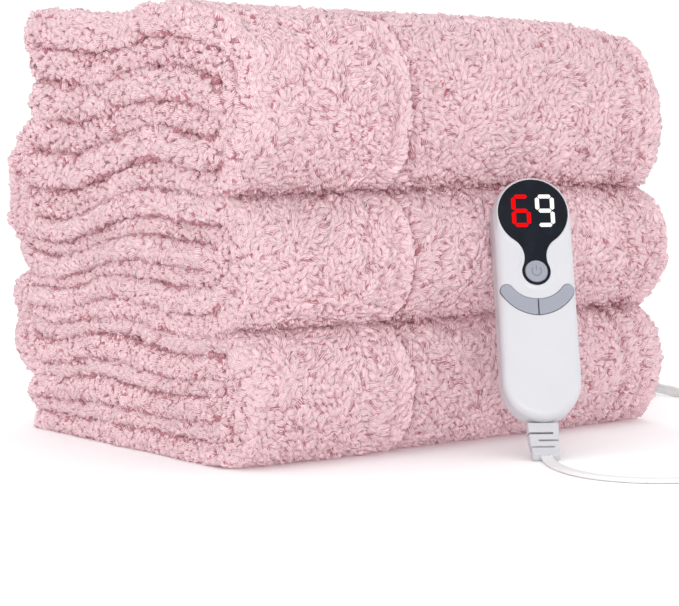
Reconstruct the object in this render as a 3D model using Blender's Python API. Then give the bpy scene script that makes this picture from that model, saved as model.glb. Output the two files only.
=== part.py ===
"""Electric heated throw, folded into a stack of three lobes, with its hand controller and lead.

The throw is one sheet of thick curly pile cloth. It is folded in three into a long strip, and the
strip is laid back and forth six times, so its outline is a single back-and-forth section that is
carried along X. The controller leans on the front of the stack, on the bent strain relief of its
flat lead. The lead runs forward along the floor, turns round the right end of the stack into a
tied coil, and ends in a mains plug.

Metres, +Z up. The front of the stack faces -Y and its layered end faces -X. The origin is on the
floor under the middle of the stack.
"""
import math

import bmesh
import bpy
import numpy as np
from mathutils import Matrix, Vector

MM = 0.001
GAP = 0.4 * MM  # clearance between pieces that touch
OVERCUT = 2.0 * MM  # how far a boolean's guide goes past the face that it cuts or joins

# ---------------------------------------------------------------- the folded throw
STACK_WIDTH = 0.342
STACK_DEPTH = 0.260
STACK_HEIGHT = 0.256
LAYERS = 3  # layers in the strip
LAYER_FILL = 0.90  # share of a layer's pitch that is cloth
FRONT_TURN = 0.036  # depth of the rounded front of a lobe
BACK_TURN = 0.032  # depth of the rounded turns at the back
CORNER_DEPTH = 9.0 * MM  # a lobe's front corners are rounded back by this, over this length
CORNER_LENGTH = 0.018
TURN_STEPS = 7  # straight facets in the outermost turn
RUN_STEPS = 4  # facets along each straight run
FLAP_EDGE = 0.121  # where the hem band of the outer flap ends, from the layered end
FLAP_SLOPE = 3.0 * MM  # half the width of the step down from it
FLAP_RISE = 4.0 * MM  # how far the flap stands proud of the cloth beside it
WAVE_RISE = 3.8 * MM  # rise and fall of the ridges across the layered end
WAVE_LENGTH = 0.145
WAVE_FADE = 0.090  # the ridges even out over this length of the stack
WAVE_SLANT = 0.35  # how far a ridge moves back for each unit of height
END_FADE = 0.05  # the layers' own places at the two ends even out over this length
TOP_DROOP = 9.0 * MM  # how far the top falls away at its right end
TOP_DROOP_LENGTH = 0.11
TOP_CROWN = 8.0 * MM  # how far the top falls away towards the front
TOP_CROWN_START = 0.02  # in front of the stack's middle

# Where along the depth a shape grows from nothing to its full size, from 1 at the front turns'
# centres to -1 at the back ones; above 1 is round the front turns.
FRONT_SHARES = (-1.0, 0.8)  # heights follow the runs' front shares instead of the back ones
LOBE_GROWTH = (0.2, 1.6)
FLAP_GROWTH = (0.6, 2.0)
# Where in the height, in layers from the floor, two shapes grow likewise.
WAVE_GROWTH = (1.0, 4.0)
CROWN_GROWTH = (10.0, 18.0)

# One row for each run of the strip, from the floor up. share is its part of the height at the
# front, back its part at the back. low, middle and high say how far the end of each of its layers
# stands in from the layered end, and right the same for the whole run at the other end.
RUNS = (
    # share, back, low, middle, high, right
    (0.146, 0.132, 3.0, 6.5, 2.0, 5.0),
    (0.147, 0.150, 7.0, 3.5, 9.0, 2.0),
    (0.150, 0.110, 6.0, 2.5, 7.5, 3.5),
    (0.153, 0.125, 3.0, 8.0, 1.0, 0.0),
    (0.198, 0.237, 5.5, 0.5, 5.0, 4.0),
    (0.206, 0.246, 2.0, 6.0, 3.0, 6.5),
)
# One row for each front lobe: how far its front stands out from the stack's depth at the layered
# end, at the flap, in the middle of the plain front and at the right end.
LOBES = (
    # end, flap, middle, right
    (-1.0, 2.5, 0.5, -3.0),
    (-6.0, 3.0, 1.0, 0.5),
    (2.0, 0.5, -1.0, -5.0),
)
# Sections along X: distance from the layered end, and the share of their thickness that the
# layers keep there, because the cut ends are round.
SECTIONS = (
    (0.000, 0.42),
    (0.003, 0.80),
    (0.010, 1.00),
    (0.022, 1.00),
    (0.065, 1.00),
    (FLAP_EDGE - FLAP_SLOPE, 1.00),
    (FLAP_EDGE + FLAP_SLOPE, 1.00),
    (0.170, 1.00),
    (0.225, 1.00),
    (0.280, 1.00),
    (0.320, 1.00),
    (STACK_WIDTH - 0.004, 0.85),
    (STACK_WIDTH, 0.50),
)

# ---------------------------------------------------------------- the hand controller
# In its own frame: X to the right as the display is read, Y into the body, Z up its length, with
# the origin in the middle of its lower end.
BODY_LENGTH = 0.1470
BODY_HALF_WIDTH = 0.0229
FRONT_THICKNESS = 0.0120
BACK_THICKNESS = 0.0088
EDGE_ROUND = 0.0048
END_ROUND = 0.0235  # length of the rounded lower end
DISPLAY_RADIUS = 0.0207
DISPLAY_HEIGHT = 0.1241
KEY_RING_RADIUS = 0.0084  # the round lower end of the display, about the power button
POWER_RADIUS = 0.0065
POWER_HEIGHT = 0.0880
NECK_FILLET = 0.0127
RIM_WIDTH = 0.0011
RIM_RISE = 0.6 * MM
PANEL_THICKNESS = 1.2 * MM
PANEL_SINK = 0.3 * MM  # the panel's face lies this far under the top of its rim
SMILE_RADIUS = 0.0214  # the two level keys lie on this circle about the power button
SMILE_HALF_WIDTH = (0.0048, 0.0037)  # at the middle and at the tips
SMILE_HALF_ANGLE = math.radians(57)
SMILE_SPLIT = 0.6 * MM
KEY_TRAVEL = 0.8 * MM
KEY_RISE = 0.7 * MM  # how far a key stands out of the face
KEY_DEPTH = 2.6 * MM
KEY_CLEARANCE = 0.35 * MM

LEAN = math.radians(22)  # the controller leans back against the stack
TURN = math.radians(-33)  # and is turned towards the viewer
FOOT = (0.0040, -0.1835, 0.0192)  # the middle of the controller's lower end

# ---------------------------------------------------------------- strain relief and lead
RELIEF_STRAIGHT = 3.0 * MM
RELIEF_BEND = 0.024  # radius of its middle line
RELIEF_ANGLE = math.radians(50)
# Across the strain relief: its edges and the blind ends of its slots.
RELIEF_HALF_WIDTH = (0.0091, 0.0079)  # at the body and at the lead
RELIEF_HALF_THICKNESS = (0.0042, 0.0023)
# Distances along the relief where it is cut across, besides the sides of the slots, so that it
# bends smoothly.
RELIEF_ROWS = (0.0040, 0.0096, 0.0148, 0.0205, 0.0225)
SLOT_WIDTH = 1.5 * MM
# Distance of each slot along the relief, the side that it opens to, and where it ends across it.
SLOTS = (
    (0.0070, -1, 0.0048),
    (0.0122, 1, -0.0028),
    (0.0174, -1, 0.0048),
)
CORD_WIDTH = 0.0070
CORD_THICKNESS = 0.0026
CORD_STEP = 0.0112  # length of a straight facet of the lead

# The lead's middle line from just past the strain relief to the coil, chosen by hand. It lies flat
# on the floor, and rises a little as it comes up to the coil's lower turns.
LEAD_ROUTE = (
    (-0.0096, -0.2043, 0.00155),
    (-0.0190, -0.2210, 0.00145),
    (-0.0255, -0.2410, 0.00145),
    (-0.0245, -0.2620, 0.00145),
    (-0.0130, -0.2820, 0.00145),
    (0.0095, -0.2960, 0.00145),
    (0.0380, -0.3010, 0.00145),
    (0.0700, -0.2985, 0.00145),
    (0.1020, -0.2900, 0.00145),
    (0.1340, -0.2755, 0.00145),
    (0.1650, -0.2550, 0.00145),
    (0.1940, -0.2285, 0.00145),
    (0.2195, -0.1960, 0.00145),
    (0.2405, -0.1590, 0.00145),
    (0.2555, -0.1190, 0.00145),
    (0.2635, -0.0780, 0.00200),
    (0.2652, -0.0430, 0.00370),
    (0.2638, -0.0203, 0.00500),
)
COIL_CENTRE = (0.2220, 0.0)
COIL_RADII = (0.0300, 0.0430)
COIL_BOTTOM = 1.6 * MM
COIL_HEIGHT = 0.0158
COIL_EDGE = 1.2 * MM  # bevel of the coil's edges
COIL_STEPS = 40
TIE_ANGLE = math.radians(200)
TIE_WIDTH = 0.0070
TIE_THICKNESS = 0.9 * MM
# The tail of the lead, from the coil to the plug.
TAIL_ROUTE = (
    (0.2638, 0.0203, 0.0130),
    (0.2655, 0.0320, 0.0120),
    (0.2655, 0.0450, 0.0106),
    (0.2630, 0.0575, 0.0100),
)
PLUG_TURN = math.radians(102)
PLUG_LENGTH = 0.030
PLUG_HALF_WIDTH = (0.0060, 0.0125)
PLUG_HALF_HEIGHT = (0.0045, 0.0096)
PIN_LENGTH = 0.0165
PIN_WIDTH = 0.0062
PIN_THICKNESS = 1.5 * MM
PIN_SPACING = 0.0127
PIN_NOSE = 2.0 * MM  # length of a pin's tapered tip
PIN_TIP_SHARE = 0.72  # how much of the pin's width is left at the tip
# Distance from the lead, and the share of the way from the plug's thin end to its face's size.
PLUG_STATIONS = ((0.0, 0.0), (0.008, 0.22), (0.015, 0.80), (0.019, 1.0), (0.0285, 1.0),
                 (PLUG_LENGTH, 0.9))
PLUG_SQUARENESS = 0.6  # 1 is an oval section, 0 a square one


# ---------------------------------------------------------------- materials and small helpers
def paint(obj, name, colour, roughness, metallic=0.0):
    """Give an object its own Principled material."""
    material = bpy.data.materials.new(name)
    material.use_nodes = True
    shader = material.node_tree.nodes["Principled BSDF"]
    shader.inputs["Base Color"].default_value = (*colour, 1.0)
    shader.inputs["Roughness"].default_value = roughness
    shader.inputs["Metallic"].default_value = metallic
    obj.data.materials.append(material)


def add(name, points, faces, parent=None):
    """Make a mesh object from points and faces, and turn its faces outwards."""
    mesh = bpy.data.meshes.new(name)
    mesh.from_pydata([tuple(map(float, p)) for p in points], [], faces)
    mesh.update()
    shape = bmesh.new()
    shape.from_mesh(mesh)
    bmesh.ops.recalc_face_normals(shape, faces=shape.faces)
    shape.to_mesh(mesh)
    shape.free()
    obj = bpy.data.objects.new(name, mesh)
    bpy.context.collection.objects.link(obj)
    obj.parent = parent
    return obj


def smooth(obj, degrees=35):
    obj.data.shade_smooth()
    obj.data.set_sharp_from_angle(angle=math.radians(degrees))


def rings(name, loops, parent=None):
    """Join closed loops of equal length into a solid, with a flat face on the first and last."""
    count = len(loops[0])
    points = [p for loop in loops for p in loop]
    faces = [tuple(range(count))[::-1]]
    for r in range(len(loops) - 1):
        for i in range(count):
            j = (i + 1) % count
            faces.append((r * count + i, r * count + j, (r + 1) * count + j, (r + 1) * count + i))
    last = (len(loops) - 1) * count
    faces.append(tuple(last + i for i in range(count)))
    return add(name, points, faces, parent)


def prism(name, outline, front, back, parent=None):
    """Extrude an outline in X and Z from one depth to another."""
    loops = [[(x, y, z) for x, z in outline] for y in (front, back)]
    return rings(name, loops, parent)


def arc(centre, radius, start, end, steps):
    """Points on an arc in a plane, both ends included."""
    angles = np.linspace(start, end, steps + 1)
    return [(centre[0] + radius * math.cos(a), centre[1] + radius * math.sin(a)) for a in angles]


def through(points, spacing):
    """A smooth curve through hand-chosen points, read at about equal steps (Catmull-Rom)."""
    p = np.array([tuple(q) for q in points], float)
    p = np.vstack([2 * p[0] - p[1], p, 2 * p[-1] - p[-2]])
    fine = []
    for a, b, c, d in zip(p[:-3], p[1:-2], p[2:-1], p[3:]):
        for t in np.linspace(0.0, 1.0, 16, endpoint=False):
            fine.append(0.5 * (2 * b + (c - a) * t + (2 * a - 5 * b + 4 * c - d) * t * t
                               + (3 * b - a - 3 * c + d) * t ** 3))
    fine = np.array(fine + [p[-2]])
    along = np.r_[0.0, np.cumsum(np.linalg.norm(np.diff(fine, axis=0), axis=1))]
    steps = max(2, round(along[-1] / spacing))
    at = np.linspace(0.0, along[-1], steps + 1)
    return np.column_stack([np.interp(at, along, fine[:, axis]) for axis in range(3)])


def combine(obj, other, operation):
    """Boolean with another solid, which is then only a guide."""
    step = obj.modifiers.new(other.name, "BOOLEAN")
    step.operation = operation
    step.solver = "EXACT"
    step.object = other
    other.hide_render = True
    other.display_type = "WIRE"


# ---------------------------------------------------------------- the folded section
def turn(centre_y, centre_z, radius, side, upwards, steps):
    """Half a turn of the sheet about a point, with the direction from the point as its normal.

    side is -1 for a turn at the front and +1 for one at the back.
    """
    sweep = np.linspace(-math.pi / 2, math.pi / 2, steps + 1)
    if not upwards:
        sweep = sweep[::-1]
    direction = np.column_stack([side * np.cos(sweep), np.sin(sweep)])
    return np.array([centre_y, centre_z]) + radius * direction, direction


def layer_path(offset):
    """One layer of the strip as it goes back and forth, in units of one layer's pitch.

    Y runs from -1 at the front turns to +1 at the back ones, and the turns go on past these by
    their radius. offset is the layer's place in the strip: +1 is outside at the front turns.
    """
    runs = len(RUNS)
    middle = [(k + 0.5) * LAYERS for k in range(runs)]
    points, normals = [], []
    for k in range(runs):
        towards = -1.0 if k % 2 == 0 else 1.0
        height = middle[k] + towards * offset
        points += [np.array([y, height]) for y in np.linspace(-towards, towards, RUN_STEPS + 1)]
        normals += [np.array([0.0, towards])] * (RUN_STEPS + 1)
        if k < runs - 1:
            side = towards
            radius = LAYERS / 2 + (offset if side < 0 else -offset)
            steps = max(4, round(TURN_STEPS * radius / (LAYERS - 0.5)) + 1)
            where, direction = turn(side, (middle[k] + middle[k + 1]) / 2, radius, side, True, steps)
            sign = 1.0 if side < 0 else -1.0
            points += list(where[1:-1])
            normals += list(sign * direction[1:-1])
    return np.array(points), np.array(normals)


def sheet_path():
    """The whole sheet's middle line and normals: three layers joined by a turn at each strip end."""
    parts = []
    for number, offset in enumerate((1.0, 0.0, -1.0)):
        points, normals = layer_path(offset)
        if number % 2:
            points, normals = points[::-1], -normals[::-1]
        parts.append((points, normals))
    points, normals = [parts[0][0]], [parts[0][1]]
    for before, after in zip(parts[:-1], parts[1:]):
        start, end = before[0][-1], after[0][0]
        upwards = end[1] > start[1]
        where, direction = turn(start[0], (start[1] + end[1]) / 2, 0.5, 1.0, upwards, 4)
        sign = np.sign(np.dot(before[1][-1], direction[0]))
        points += [where[1:-1], after[0]]
        normals += [sign * direction[1:-1], after[1]]
    return np.vstack(points), np.vstack(normals)


def ease(value, start, end):
    """0 before start, 1 after end, and a smooth step between them."""
    t = np.clip((value - start) / (end - start), 0.0, 1.0)
    return t * t * (3.0 - 2.0 * t)


def shaped(points, x):
    """Carry points of the plain section to their place in the stack, x from the layered end.

    In turn: heights follow the runs' shares, front and back; the turns take their depth, less a
    quarter of an oval at the front corners; each lobe bulges by its own amount; the flap stands
    proud; the ridges rise and fall near the layered end; the top falls away to the right and the
    front.
    """
    y, level = points[:, 0], points[:, 1]
    table = np.array(RUNS)
    knots = np.arange(len(RUNS) + 1.0) * LAYERS
    knots[0] = (1.0 - LAYER_FILL) / 2  # the underside of the lowest layer lies on the floor
    front = np.interp(level, knots, np.r_[0.0, np.cumsum(table[:, 0])])
    back = np.interp(level, knots, np.r_[0.0, np.cumsum(table[:, 1])])
    forward = ease(-y, *FRONT_SHARES)
    height = STACK_HEIGHT * (front * forward + back * (1.0 - forward))

    past_front = np.clip(-y - 1.0, 0.0, None) / LAYERS
    past_back = np.clip(y - 1.0, 0.0, None) / LAYERS
    front_line = STACK_DEPTH / 2 - FRONT_TURN
    back_line = STACK_DEPTH / 2 - BACK_TURN
    inside = (np.clip(y, -1.0, 1.0) + 1.0) / 2.0
    place = -front_line + inside * (front_line + back_line)
    from_end = min(x, STACK_WIDTH - x, CORNER_LENGTH) / CORNER_LENGTH
    rounded = CORNER_DEPTH * (1.0 - math.sqrt(1.0 - (1.0 - from_end) ** 2))
    place = place - past_front * (FRONT_TURN - rounded) + past_back * BACK_TURN

    stops = (0.0, FLAP_EDGE * 0.6, STACK_WIDTH * 0.6, STACK_WIDTH)
    reach = np.array([np.interp(x, stops, row) for row in LOBES]) * MM
    lobe = np.interp(level / (2 * LAYERS), (0.5, 1.5, 2.5), reach)
    place = place - lobe * ease(-y, *LOBE_GROWTH)
    flap = FLAP_RISE * (1.0 - ease(x, FLAP_EDGE - FLAP_SLOPE, FLAP_EDGE + FLAP_SLOPE))
    place = place - flap * ease(-y, *FLAP_GROWTH)

    wave = np.sin(2 * math.pi * (place + WAVE_SLANT * height) / WAVE_LENGTH)
    height = height + ease(level, *WAVE_GROWTH) * WAVE_RISE * wave * math.exp(-x / WAVE_FADE)
    share = np.clip(height / STACK_HEIGHT, 0.0, None) ** 2
    droop = max(0.0, (x - STACK_WIDTH + TOP_DROOP_LENGTH) / TOP_DROOP_LENGTH) ** 2
    height = height - share * TOP_DROOP * droop
    crowned = STACK_DEPTH / 2 - TOP_CROWN_START
    crown = np.clip((-place - TOP_CROWN_START) / crowned, 0.0, None) ** 2
    height = height - share * ease(level, *CROWN_GROWTH) * TOP_CROWN * crown
    return place, height


def throw():
    """The folded throw: the section carried along X as one closed sheet."""
    middle, normals = sheet_path()
    count = len(middle)
    layer_of = np.clip(middle[:, 1], 0.0, len(RUNS) * LAYERS - 0.001)
    ends = np.array([row[2:5] for row in RUNS]).ravel() * MM
    left_end = np.interp(layer_of, np.arange(len(ends)) + 0.5, ends)
    right = np.array([row[5] for row in RUNS]) * MM
    right_end = np.interp(layer_of, (np.arange(len(RUNS)) + 0.5) * LAYERS, right)
    points, per_section = [], 2 * count
    for distance, share in SECTIONS:
        near = 1.0 - ease(distance, 0.0, END_FADE)
        far = ease(distance, STACK_WIDTH - END_FADE, STACK_WIDTH)
        half = 0.5 * LAYER_FILL * share
        x = distance + left_end * near - right_end * far - STACK_WIDTH / 2
        for side in (1.0, -1.0):
            section = middle + side * half * normals
            place, height = shaped(section, distance)
            points.append(np.column_stack([x, place, height]))
    points = np.vstack(points)
    faces = []
    for s in range(len(SECTIONS) - 1):
        here, there = s * per_section, (s + 1) * per_section
        for side in (0, count):
            for i in range(count - 1):
                a, b = side + i, side + i + 1
                faces.append((here + a, here + b, there + b, there + a))
        for end in (0, count - 1):
            faces.append((here + end, there + end, there + count + end, here + count + end))
    for s in (0, (len(SECTIONS) - 1) * per_section):
        for i in range(count - 1):
            faces.append((s + i, s + i + 1, s + count + i + 1, s + count + i))
    obj = add("throw", points, faces)
    paint(obj, "curly_pile_cloth", (0.83, 0.55, 0.59), 0.95)
    return obj


# ---------------------------------------------------------------- the controller
def body_outline(inset=0.0, steps=14):
    """The body seen from the front: a half circle above, straight sides and an oval lower end."""
    half = BODY_HALF_WIDTH - inset
    top = arc((0.0, BODY_LENGTH - BODY_HALF_WIDTH), half, 0.0, math.pi, steps)
    sweep = np.linspace(math.pi, 2 * math.pi, steps + 1)
    low = [(half * math.cos(a), END_ROUND + (END_ROUND - inset) * math.sin(a)) for a in sweep]
    return top + low


def shell_half(name, thickness, forward, parent):
    """Half of the body: straight from the parting line, then rounded into a flat face."""
    parting = GAP / 2
    loops = [[(x, forward * parting, z) for x, z in body_outline()]]
    for a in np.linspace(0.0, math.pi / 2, 6):
        inset = EDGE_ROUND * (1.0 - math.cos(a))
        depth = thickness - EDGE_ROUND + EDGE_ROUND * math.sin(a)
        loops.append([(x, forward * depth, z) for x, z in body_outline(inset)])
    return rings(name, loops, parent)


def keyhole(grow=0.0):
    """The display's outline: a large and a small circle joined by two hollow fillets."""
    big, small = DISPLAY_RADIUS + grow, KEY_RING_RADIUS + grow
    fillet = NECK_FILLET - grow
    gap = DISPLAY_HEIGHT - POWER_HEIGHT
    to_big, to_small = big + fillet, small + fillet
    down = (to_big ** 2 - to_small ** 2 + gap ** 2) / (2 * gap)
    across = math.sqrt(to_big ** 2 - down ** 2)
    upper = math.atan2(-down, across)
    lower = math.atan2(gap - down, across)
    top = arc((0.0, DISPLAY_HEIGHT), big, upper, math.pi - upper, 30)
    left = arc((-across, DISPLAY_HEIGHT - down), fillet, -upper, -lower, 6)
    under = arc((0.0, POWER_HEIGHT), small, math.pi - lower, 2 * math.pi + lower, 16)
    right = arc((across, DISPLAY_HEIGHT - down), fillet, math.pi + lower, math.pi + upper, 6)
    return top + left[1:-1] + under + right[1:-1]


def smile_key(side, grow=0.0, steps=9):
    """One of the two level keys: an arc-shaped bar about the power button with a round tip."""
    start = (SMILE_SPLIT / 2 - grow) / SMILE_RADIUS
    wide, narrow = SMILE_HALF_WIDTH
    angles = np.linspace(start, SMILE_HALF_ANGLE, steps + 1)
    half = wide + (narrow - wide) * (angles / SMILE_HALF_ANGLE) + grow
    inner = [(r * math.sin(a), -r * math.cos(a)) for r, a in zip(SMILE_RADIUS - half, angles)]
    outer = [(r * math.sin(a), -r * math.cos(a)) for r, a in zip(SMILE_RADIUS + half, angles)]
    tip = (SMILE_RADIUS * math.sin(SMILE_HALF_ANGLE), -SMILE_RADIUS * math.cos(SMILE_HALF_ANGLE))
    outward = SMILE_HALF_ANGLE - math.pi / 2
    cap = arc(tip, half[-1], outward, outward + math.pi, 8)
    outline = outer + cap[1:-1] + inner[::-1]
    return [(side * x, POWER_HEIGHT + z) for x, z in outline]


def circle(radius, steps=28):
    return arc((0.0, POWER_HEIGHT), radius, 0.0, 2 * math.pi * (1 - 1 / steps), steps - 1)


def controller(parent):
    face = -FRONT_THICKNESS
    front = shell_half("controller_front", FRONT_THICKNESS, -1.0, parent)
    paint(front, "white_plastic_front", (0.86, 0.86, 0.88), 0.35)
    rim_top = face - RIM_RISE
    panel_face = rim_top + PANEL_SINK
    panel_back = panel_face + PANEL_THICKNESS
    rim = prism("rim_guide", keyhole(RIM_WIDTH), rim_top, face + OVERCUT, parent)
    combine(front, rim, "UNION")
    recess = prism("display_cutter", keyhole(), rim_top - OVERCUT, panel_back + GAP, parent)
    combine(front, recess, "DIFFERENCE")
    key_back = face - KEY_RISE + KEY_DEPTH
    pocket_back = key_back + KEY_TRAVEL + GAP
    for side, name in ((-1, "left"), (1, "right")):
        outline = smile_key(side, KEY_CLEARANCE)
        combine(front, prism(f"{name}_key_cutter", outline, face - OVERCUT, pocket_back, parent),
                "DIFFERENCE")
    power_face = panel_face - KEY_RISE
    power_back = power_face + KEY_DEPTH
    hole = circle(POWER_RADIUS + KEY_CLEARANCE)
    power_pocket = power_back + KEY_TRAVEL + GAP
    combine(front, prism("power_cutter", hole, face, power_pocket, parent), "DIFFERENCE")
    smooth(front)

    back = shell_half("controller_back", BACK_THICKNESS, 1.0, parent)
    paint(back, "white_plastic_back", (0.86, 0.86, 0.88), 0.38)
    smooth(back)

    panel = prism("display_panel", keyhole(-GAP), panel_face, panel_back, parent)
    combine(panel, prism("panel_cutter", hole, panel_face - OVERCUT, panel_back + OVERCUT, parent),
            "DIFFERENCE")
    paint(panel, "black_gloss", (0.010, 0.011, 0.014), 0.12)

    power = prism("power_button", circle(POWER_RADIUS), power_face, power_back, parent)
    paint(power, "grey_key", (0.31, 0.33, 0.39), 0.45)
    for side, name in ((-1, "left_key"), (1, "right_key")):
        key = prism(name, smile_key(side), face - KEY_RISE, key_back, parent)
        paint(key, "grey_" + name, (0.31, 0.33, 0.39), 0.45)


# ---------------------------------------------------------------- strain relief
def relief_frame(distance):
    """Middle line of the strain relief in the controller's frame: its point and outward normal.

    It leaves the body straight down and then bends forward on an arc.
    """
    bent = max(0.0, distance - RELIEF_STRAIGHT) / RELIEF_BEND
    straight = min(distance, RELIEF_STRAIGHT)
    point = Vector((0.0, -RELIEF_BEND * (1.0 - math.cos(bent)),
                    -straight - RELIEF_BEND * math.sin(bent)))
    return point, Vector((0.0, -math.cos(bent), math.sin(bent)))


def relief_length():
    return RELIEF_STRAIGHT + RELIEF_BEND * RELIEF_ANGLE


def strain_relief(parent):
    """A tapered bar along the bent middle line, with three slots open to alternate sides.

    The bar is a grid of cells across its width and along its length, each cell a block of the
    bar's full thickness, and the slots are the cells that are left out.
    """
    length = relief_length()
    edges = {GAP, length}
    for at, _, _ in SLOTS:
        edges |= {at - SLOT_WIDTH / 2, at + SLOT_WIDTH / 2}
    along = sorted(edges | set(RELIEF_ROWS))
    across = [-1.0, SLOTS[1][2] / RELIEF_HALF_WIDTH[0], SLOTS[0][2] / RELIEF_HALF_WIDTH[0], 1.0]

    def solid(row, column):
        middle = (along[row] + along[row + 1]) / 2
        for at, side, end in SLOTS:
            if abs(middle - at) < SLOT_WIDTH / 2:
                share = end / RELIEF_HALF_WIDTH[0]
                centre = (across[column] + across[column + 1]) / 2
                return (centre - share) * side < 0
        return True

    cells = {(r, c) for r in range(len(along) - 1) for c in range(3) if solid(r, c)}
    names, points, faces = {}, [], []

    def corner(row, column, layer):
        key = (row, column, layer)
        if key not in names:
            t = along[row] / length
            point, normal = relief_frame(along[row])
            half_width = RELIEF_HALF_WIDTH[0] + (RELIEF_HALF_WIDTH[1] - RELIEF_HALF_WIDTH[0]) * t
            thick = RELIEF_HALF_THICKNESS
            half_thick = thick[0] + (thick[1] - thick[0]) * t
            names[key] = len(points)
            points.append(point + Vector((across[column] * half_width, 0, 0))
                          + normal * (half_thick if layer else -half_thick))
        return names[key]

    for r, c in sorted(cells):
        square = [(r, c), (r, c + 1), (r + 1, c + 1), (r + 1, c)]
        for layer in (0, 1):
            faces.append([corner(a, b, layer) for a, b in square])
        walls = (((r, c), (r, c + 1), (r - 1, c)), ((r, c + 1), (r + 1, c + 1), (r, c + 1)),
                 ((r + 1, c + 1), (r + 1, c), (r + 1, c)), ((r + 1, c), (r, c), (r, c - 1)))
        for start, end, beyond in walls:
            if beyond not in cells:
                faces.append([corner(*start, 0), corner(*end, 0), corner(*end, 1),
                              corner(*start, 1)])
    obj = add("strain_relief", points, faces, parent)
    paint(obj, "white_soft_plastic", (0.84, 0.84, 0.85), 0.5)
    return obj


# ---------------------------------------------------------------- lead, coil, tie and plug
def flat_lead(name, points):
    """A flat lead: a curve with round edges, laid on its broad side."""
    curve = bpy.data.curves.new(name, "CURVE")
    curve.dimensions = "3D"
    curve.twist_mode = "Z_UP"
    curve.bevel_depth = CORD_THICKNESS / 2
    curve.extrude = (CORD_WIDTH - CORD_THICKNESS) / 2
    curve.bevel_resolution = 2
    curve.use_fill_caps = True
    spline = curve.splines.new("POLY")
    spline.points.add(len(points) - 1)
    for point, place in zip(spline.points, points):
        point.co = (*place, 1.0)
        point.tilt = math.pi / 2
    obj = bpy.data.objects.new(name, curve)
    bpy.context.collection.objects.link(obj)
    paint(obj, name + "_plastic", (0.83, 0.83, 0.84), 0.45)
    return obj


def lead_points(pose):
    """From the strain relief's end, in its direction, down to the floor and on to the coil."""
    end, normal = relief_frame(relief_length())
    heading = pose.to_3x3() @ Vector((0.0, -normal.z, normal.y))
    tip = pose @ end
    return through([tip + heading * GAP] + [Vector(p) for p in LEAD_ROUTE], CORD_STEP)


def coil():
    """The outer shape of the wound lead: a turned ring with softened edges."""
    inner, outer = COIL_RADII
    low, high = COIL_BOTTOM, COIL_BOTTOM + COIL_HEIGHT
    soft = COIL_EDGE
    profile = ((inner, low + soft), (inner + soft, low), (outer - soft, low), (outer, low + soft),
               (outer, high - soft), (outer - soft, high), (inner + soft, high),
               (inner, high - soft))
    points, faces = [], []
    for s in range(COIL_STEPS):
        a = 2 * math.pi * s / COIL_STEPS
        points += [(COIL_CENTRE[0] + r * math.cos(a), COIL_CENTRE[1] + r * math.sin(a), z)
                   for r, z in profile]
    size = len(profile)
    for s in range(COIL_STEPS):
        here, there = s * size, (s + 1) % COIL_STEPS * size
        for i in range(size):
            j = (i + 1) % size
            faces.append((here + i, there + i, there + j, here + j))
    obj = add("lead_coil", points, faces)
    smooth(obj)
    paint(obj, "coil_plastic", (0.83, 0.83, 0.84), 0.45)
    return obj


def tie():
    """A band round the coil's turns: a rectangular loop about the ring's section."""
    inner, outer = COIL_RADII
    low, high = COIL_BOTTOM, COIL_BOTTOM + COIL_HEIGHT
    loops = []
    for grow in (GAP, GAP + TIE_THICKNESS):
        loops.append([(inner - grow, low - grow), (outer + grow, low - grow),
                      (outer + grow, high + grow), (inner - grow, high + grow)])
    points, faces = [], []
    for side in (-TIE_WIDTH / 2, TIE_WIDTH / 2):
        for loop in loops:
            points += [(r, side, z) for r, z in loop]
    for i in range(4):
        j = (i + 1) % 4
        faces += [(i, j, 4 + j, 4 + i), (8 + i, 8 + j, 12 + j, 12 + i),
                  (i, j, 8 + j, 8 + i), (4 + i, 4 + j, 12 + j, 12 + i)]
    obj = add("lead_tie", points, faces)
    obj.location = (*COIL_CENTRE, 0.0)
    obj.rotation_euler = (0.0, 0.0, TIE_ANGLE)
    paint(obj, "tie_plastic", (0.80, 0.80, 0.81), 0.6)
    return obj


def plug():
    """A moulded two-pin plug that widens from the lead to its face, lying on the floor."""
    holder = bpy.data.objects.new("plug_pose", None)
    bpy.context.collection.objects.link(holder)
    holder.location = TAIL_ROUTE[-1]
    holder.rotation_euler = (0.0, 0.0, PLUG_TURN)
    loops = []
    for distance, share in PLUG_STATIONS:
        half_width = PLUG_HALF_WIDTH[0] + (PLUG_HALF_WIDTH[1] - PLUG_HALF_WIDTH[0]) * share
        half_height = PLUG_HALF_HEIGHT[0] + (PLUG_HALF_HEIGHT[1] - PLUG_HALF_HEIGHT[0]) * share
        loop = []
        for a in np.linspace(0.0, 2 * math.pi, 20, endpoint=False):
            c, s = math.cos(a), math.sin(a)
            loop.append((GAP + distance,
                         half_width * math.copysign(abs(c) ** PLUG_SQUARENESS, c),
                         half_height * math.copysign(abs(s) ** PLUG_SQUARENESS, s)))
        loops.append(loop)
    body = rings("plug", loops, holder)
    smooth(body)
    paint(body, "plug_plastic", (0.83, 0.83, 0.84), 0.4)
    start = GAP * 2 + PLUG_LENGTH
    for side, name in ((-1, "pin_left"), (1, "pin_right")):
        y = side * PIN_SPACING / 2
        half, tall = PIN_THICKNESS / 2, PIN_WIDTH / 2
        nose = PIN_LENGTH - PIN_NOSE
        loops = [[(start + d, y + sy * half, sz * tall * taper)
                  for sy, sz in ((-1, -1), (1, -1), (1, 1), (-1, 1))]
                 for d, taper in ((0.0, 1.0), (nose, 1.0), (PIN_LENGTH, PIN_TIP_SHARE))]
        pin = rings(name, loops, holder)
        paint(pin, name + "_brass", (0.75, 0.68, 0.50), 0.3, 1.0)


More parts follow.
